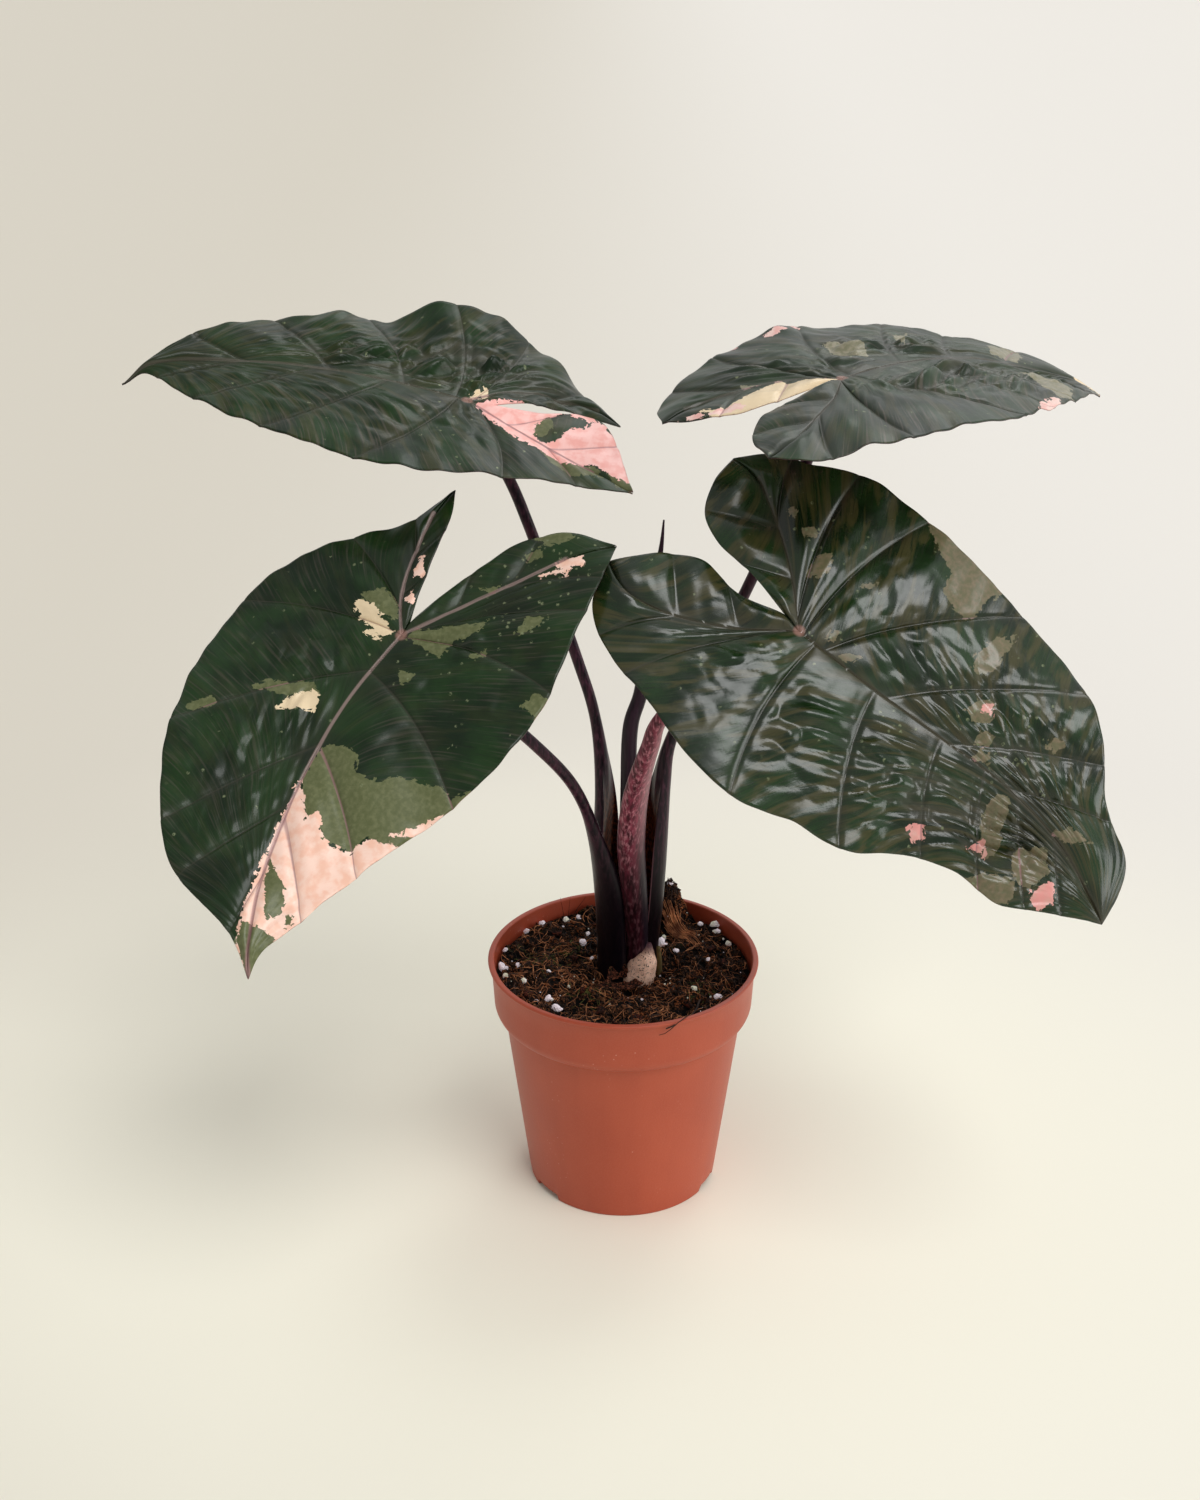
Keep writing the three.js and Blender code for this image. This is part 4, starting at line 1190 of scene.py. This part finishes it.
def blade_shape(leaf):
    """The blade as a closed shell, with marks on its corners for the finish."""
    forward = Vector(leaf["forward"]).normalized()
    upward = Vector(leaf["upward"])
    upward = (upward - forward * upward.dot(forward)).normalized()
    axes = np.array([forward, upward.cross(forward), upward])
    midrib = Line(leaf["midrib"])
    tip = leaf["midrib"][-1][0]
    bends = leaf["bends"]

    def place(u, v, lift):
        lengthwise = np.where(u > 0, bends["midrib"], bends["lobes"])
        bend = -0.5 * lengthwise * u * u - 0.5 * bends["across"] * v * v + bends["twist"] * u * v
        drip = leaf["drip"] * smoothstep(u, tip - drip_length, tip) ** 2
        return np.array(leaf["junction"]) + np.stack([u, v, bend / 1000 - drip + lift], -1) @ axes

    shape = bmesh.new()
    marks = {name: shape.verts.layers.float.new(name) for name in sheet_marks + shell_marks}

    def add_sheet(columns, inner, outer, bow, margin_run, gap, foot, lift, half, side):
        """One sheet from the columns' inner ends to their outer ends, swollen between veins."""
        length = np.linalg.norm(outer - inner, axis=1)
        rows = max(6, round(length.max() / pitch))
        count = len(columns)
        sheet = bmesh.ops.create_grid(shape, x_segments=count - 1, y_segments=rows, size=0.5)
        grid = np.array([corner.co[:2] for corner in sheet["verts"]]) + 0.5
        index = np.rint(grid[:, 0] * (count - 1)).astype(int)
        share = grid[:, 1]
        chord = outer - inner
        across = np.stack([-np.abs(chord[:, 1]), np.zeros(count)], -1) / (length[:, None] + 1e-6)
        flat = (inner[index] + chord[index] * share[:, None]
                + across[index] * (bow[index] * 4 * share * (1 - share))[:, None])
        vein = columns[index]
        hump = 4 * (vein % 1) * (1 - vein % 1)
        width = gap[index] * (0.35 + 0.65 * share)
        from_vein = np.abs(vein - np.rint(vein)) * width
        run = share * length[index]
        reach = margin_run[index] * (0.4 + 0.6 * share)
        ends = np.sin(math.pi * share ** 0.7)
        plump = np.sin(math.pi * share ** 0.8) * np.minimum(1, width / 16)
        blister = sum(height * np.exp(-((flat[:, 0] - u) ** 2 + (flat[:, 1] - v) ** 2) / size ** 2)
                      for u, v, size, height in half["blisters"])
        crease = np.array([quilted(a, b) for a, b in zip(run, reach)])
        pillow = smoothstep(crease, -0.2, 0.9)
        broad = np.array([noise.noise((a / 22, b / 22, 2)) for a, b in flat])
        ripple = np.array([noise.noise((b / 11, 4 * side, 3)) for b in reach])
        height = (half["swell"] * hump ** 0.6 * plump
                  + blister * (3.2 * pillow - 1.8) * np.minimum(1, 2 * hump) * ends
                  + 0.12 * np.sin(6 * math.pi * vein) * ends
                  - groove_depth * np.exp(-(from_vein / groove_width) ** 2) * np.minimum(1, 6 * share)
                  + broad * ends
                  + ripple_height * ripple * share ** 5 * np.minimum(1, length[index] / 30)
                  + foot[index] * (1 - share ** 2) + lift[index] * share ** 2)
        spots = place(flat[:, 0], flat[:, 1], height)
        crease += 1 - np.minimum(1, 0.7 * blister * ends)
        values = zip(flat[:, 0], flat[:, 1], from_vein, run, reach, crease)
        for corner, spot, marked in zip(sheet["verts"], spots, values):
            corner.co = spot
            for name, value in zip(sheet_marks, marked):
                corner[marks[name]] = value
        faces = list({face for corner in sheet["verts"] for face in corner.link_faces})
        for face in faces:
            face.normal_update()
        if sum((face.normal for face in faces), Vector()).dot(upward) < 0:
            bmesh.ops.reverse_faces(shape, faces=faces)

    ribs = [midrib.spread(150)]
    outlines = []
    for side, half in zip((1, -1), leaf["halves"]):
        rib = Line(half["rib"])
        sinus = Line(half["sinus"])
        margin = Line(half["margin"])
        spine_points = np.vstack([rib.points[::-1], midrib.points[1:]])
        spine_lengths = np.concatenate([rib.length - rib.lengths[::-1],
                                        rib.length + midrib.lengths[1:]])
        outlines += [margin.points[::2], sinus.points[::2]]
        ribs.append(rib.spread(60))

        def spine_at(length):
            return np.stack([np.interp(length, spine_lengths, column)
                             for column in spine_points.T], -1)

        roots = [0, *[np.interp(lateral[0], spine_points[:, 0], spine_lengths)
                      for lateral in half["laterals"]], spine_lengths[-1]]
        ends = [0, *[np.interp(lateral[1], margin.points[:, 0], margin.lengths)
                     for lateral in half["laterals"]], margin.length]
        bows = [0, *[lateral[2] for lateral in half["laterals"]], 0]
        knots = np.arange(len(roots))
        counts = [max(4, 2 * round(max(b - a, 12) / pitch / 2)) for a, b in zip(ends, ends[1:])]
        columns = np.concatenate([knot + np.arange(count) / count
                                  for knot, count in zip(knots, counts)] + [[knots[-1]]])
        margin_run = np.interp(columns, knots, ends)
        gaps = np.interp(columns, knots[:-1] + 0.5, np.diff(ends))
        rib_lifts = half.get("rib_lifts", [0, 0])
        spine_run = np.interp(columns, knots, roots)
        add_sheet(columns, spine_at(spine_run), margin.at(margin_run),
                  np.interp(columns, knots, bows), margin_run, gaps,
                  wavy(rib_lifts, 1 - spine_run / rib.length),
                  wavy(half["margin_lifts"], margin_run / margin.length), half, side)
        steps = np.linspace(0, 1, max(8, round(rib.length / pitch)))
        along_rib = np.unique(rib.length - spine_lengths[spine_lengths <= rib.length + 1e-6])
        rib_columns = (np.interp(steps * rib.length, along_rib, along_rib) / rib.length
                       * sinus_veins)
        add_sheet(rib_columns, rib.at(steps * rib.length), sinus.at(steps * sinus.length),
                  0 * steps, -sinus.length * steps, 0 * steps + sinus_gap,
                  wavy(rib_lifts, steps), wavy(half["sinus_lifts"], steps), half, side)

    bmesh.ops.remove_doubles(shape, verts=shape.verts[:], dist=0.02)
    shape.normal_update()
    normals = [corner.normal.copy() for corner in shape.verts]
    for corner, normal in zip(shape.verts, normals):
        corner.co += normal * blade_thickness / 2

    flat = np.array([(corner[marks["u"]], corner[marks["v"]]) for corner in shape.verts])
    fields = {
        "main": away_from(flat, np.vstack(ribs)),
        "edge": away_from(flat, np.vstack(outlines)),
        "sage": deepest(flat, leaf["sage"]),
        "pink": np.minimum(deepest(flat, leaf["pink"]), -deepest(flat, leaf["islands"])),
        "cream": deepest(flat, leaf["cream"]),
        "specks": deepest(flat, leaf["specks"]),
        "pair": np.arange(len(flat)),
    }
    for name, field in fields.items():
        for corner, value in zip(shape.verts, field):
            corner[marks[name]] = value
    uppers = shape.verts[:]
    known = set(uppers)
    bmesh.ops.solidify(shape, geom=shape.faces[:], thickness=blade_thickness)
    for corner in shape.verts:
        if corner in known:
            continue
        pair = round(corner[marks["pair"]])
        corner.co = uppers[pair].co - normals[pair] * blade_thickness
        corner[marks["under"]] = 1
        taper = min(1, corner[marks["edge"]] / 25)
        keel = keel_depth * taper * math.exp(-(corner[marks["main"]] / 1.6) ** 2)
        side_rib = side_rib_depth * taper * math.exp(-(corner[marks["lateral"]] / 1.3) ** 2)
        corner.co -= upward * max(keel, side_rib)
    return shape


def blade_finish(name, leaf):
    """Waxy upper skin with coloured patches, fine parallel veins and a dark plum underside, with
    painted sheen along its creases and in grey streaks along its veins.
    """
    finish = Finish(name, {
        "Specular IOR Level": leaf["sheen"], "Coat Weight": 0.1, "Coat Roughness": 0.12})
    u, v = finish.value("u"), finish.value("v")
    flat = finish.node("ShaderNodeCombineXYZ", {}, {0: u, 1: v})
    vein_frame = finish.node("ShaderNodeCombineXYZ", {}, {
        0: finish.value("run"), 1: finish.value("reach")})
    main, lateral = finish.value("main"), finish.value("lateral")
    edge, under = finish.value("edge"), finish.value("under")

    warp = finish.node("ShaderNodeTexNoise", {}, {"Vector": flat, "Scale": 0.3, "Detail": 2}, "Color")
    warped = finish.node("ShaderNodeVectorMath", {"operation": "MULTIPLY_ADD"}, {
        0: warp, 1: (4, 4, 0), 2: flat})
    jags = finish.cells(finish.stretched(warped, (0.42, 0.3, 1)), 1, "Color")
    small_jags = finish.cells(finish.stretched(warped, (1.1, 0.9, 1)), 1, "Color")
    wander = finish.cloud(flat, 0.22, 3)
    tear = 1.8 * jags + 0.7 * small_jags + 2.4 * wander - 2.45

    def patch(field, bias=0.0):
        return (finish.value(field) + tear + bias).rise(-0.1, 0.1)

    broad = finish.cloud(flat, 0.04, 4)
    fine = finish.cloud(flat, 0.5, 4)
    grain = finish.cloud(finish.stretched(vein_frame, (0.12, 1.3, 1)), 1, 3)
    olive = finish.cloud(finish.stretched(vein_frame, (0.06, 0.16, 1)), 1, 4, 0.5)
    streaks = finish.cloud(finish.stretched(vein_frame, (0.05, 0.7, 1)), 1, 4, 0.3)
    apart = main.rise(2, 14)
    smoke = (lateral.bell(4) * 0.5 + main.bell(5) * 0.4) * (0.25 + 0.35 * leaf["bronze"])
    green = finish.layers(
        (8, 30, 6),
        (broad.rise(0.35, 0.65), (24, 52, 16)),
        (olive.rise(0.46, 0.62) * leaf["bronze"], (70, 66, 34)),
        (smoke, (58, 54, 48)),
        # Painted sheen: pale grey along the creases between the pillows.
        (finish.value("crease").bell(0.14) * 0.45, (76, 72, 62)),
        (grain.rise(0.5, 0.72) * 0.4, (5, 14, 5)),
        # Painted sheen: grey streaks along the veins, as strong as each leaf asks for.
        (streaks.rise(0.5, 0.7) * apart * leaf["sheen_streaks"], (100, 90, 82)))

    speck_cells = finish.cells(flat, 0.55, "Color")
    speck_spots = finish.cells(flat, 0.55)
    dense = finish.value("specks").rise(-4, 4)
    speck = (speck_cells + 0.14 * dense).rise(0.985, 0.99) * (
        1 - speck_spots.rise(0.16, 0.5)) * finish.cloud(flat, 1.4, 2).rise(0.42, 0.5)
    sage, dusty = leaf["faded"]
    sage = finish.layers(sage, (fine.rise(0.35, 0.7), dusty),
                         (small_jags.rise(0.3, 0.9) * 0.3, sage))
    cream = finish.layers((224, 202, 164), (fine, (236, 214, 178)))
    pink, rosy = leaf["blush"]
    pink = finish.layers(pink, (wander.rise(0.4, 0.65), rosy),
                         (grain.rise(0.5, 0.7) * 0.25, rosy))

    greyed = patch("sage")
    creamy = patch("cream", 0.4)
    bleached = patch("pink", 0.4)
    light_patch = (greyed + creamy + bleached).rise(0, 1)
    thin_vein = 1 - lateral.rise(0.12, 0.5)
    thick_vein = 1 - main.rise(0.5, 1.1)
    star = 1 - (u * u + v * v).rise(1.5, 9)
    vein_colour = finish.layers((56, 56, 44), (light_patch, (150, 108, 112)))
    rib_colour = finish.layers(leaf["rib_colour"], (light_patch, (156, 116, 118)))
    edge_colour = finish.layers((38, 26, 30), (bleached, (190, 140, 134)))
    plum = finish.layers(
        (52, 26, 40),
        (fine, (84, 50, 58)),
        (light_patch * 0.6, (190, 130, 124)),
        (lateral.bell(1.2) * 0.6 + main.bell(2) * 0.6, (34, 14, 24)))
    colour = finish.layers(
        green,
        (greyed, sage),
        (speck * 0.8, (124, 132, 98)),
        (creamy, cream),
        (bleached, pink),
        (thin_vein * 0.6, vein_colour),
        (thick_vein * 0.75, rib_colour),
        (star * 0.8, (150, 112, 100)),
        ((1 - edge.rise(0.1, 0.45)) * 0.5, edge_colour),
        (under, plum))

    hairlines = finish.cloud(finish.stretched(vein_frame, (0.1, 1.1, 1)), 1, 2)
    pucker = finish.cloud(finish.stretched(vein_frame, (0.1, 0.2, 1)), 1, 3, 0.6)
    surface = (hairlines * 0.04 + pucker * 0.14) * apart - lateral.bell(0.6) * 0.25 + fine * 0.03
    finish.feed(finish.shader, {
        "Base Color": colour,
        "Roughness": leaf["gloss"] + 0.12 * fine + 0.2 * under,
        "Normal": finish.relief(surface, 0.0007),
    })
    return finish


for name, leaf in leaves.items():
    finished(blade_shape(leaf), f"blade_skin_{name}", blade_finish(f"blade_{name}", leaf),
             "blade", [f"blade_{name}"])
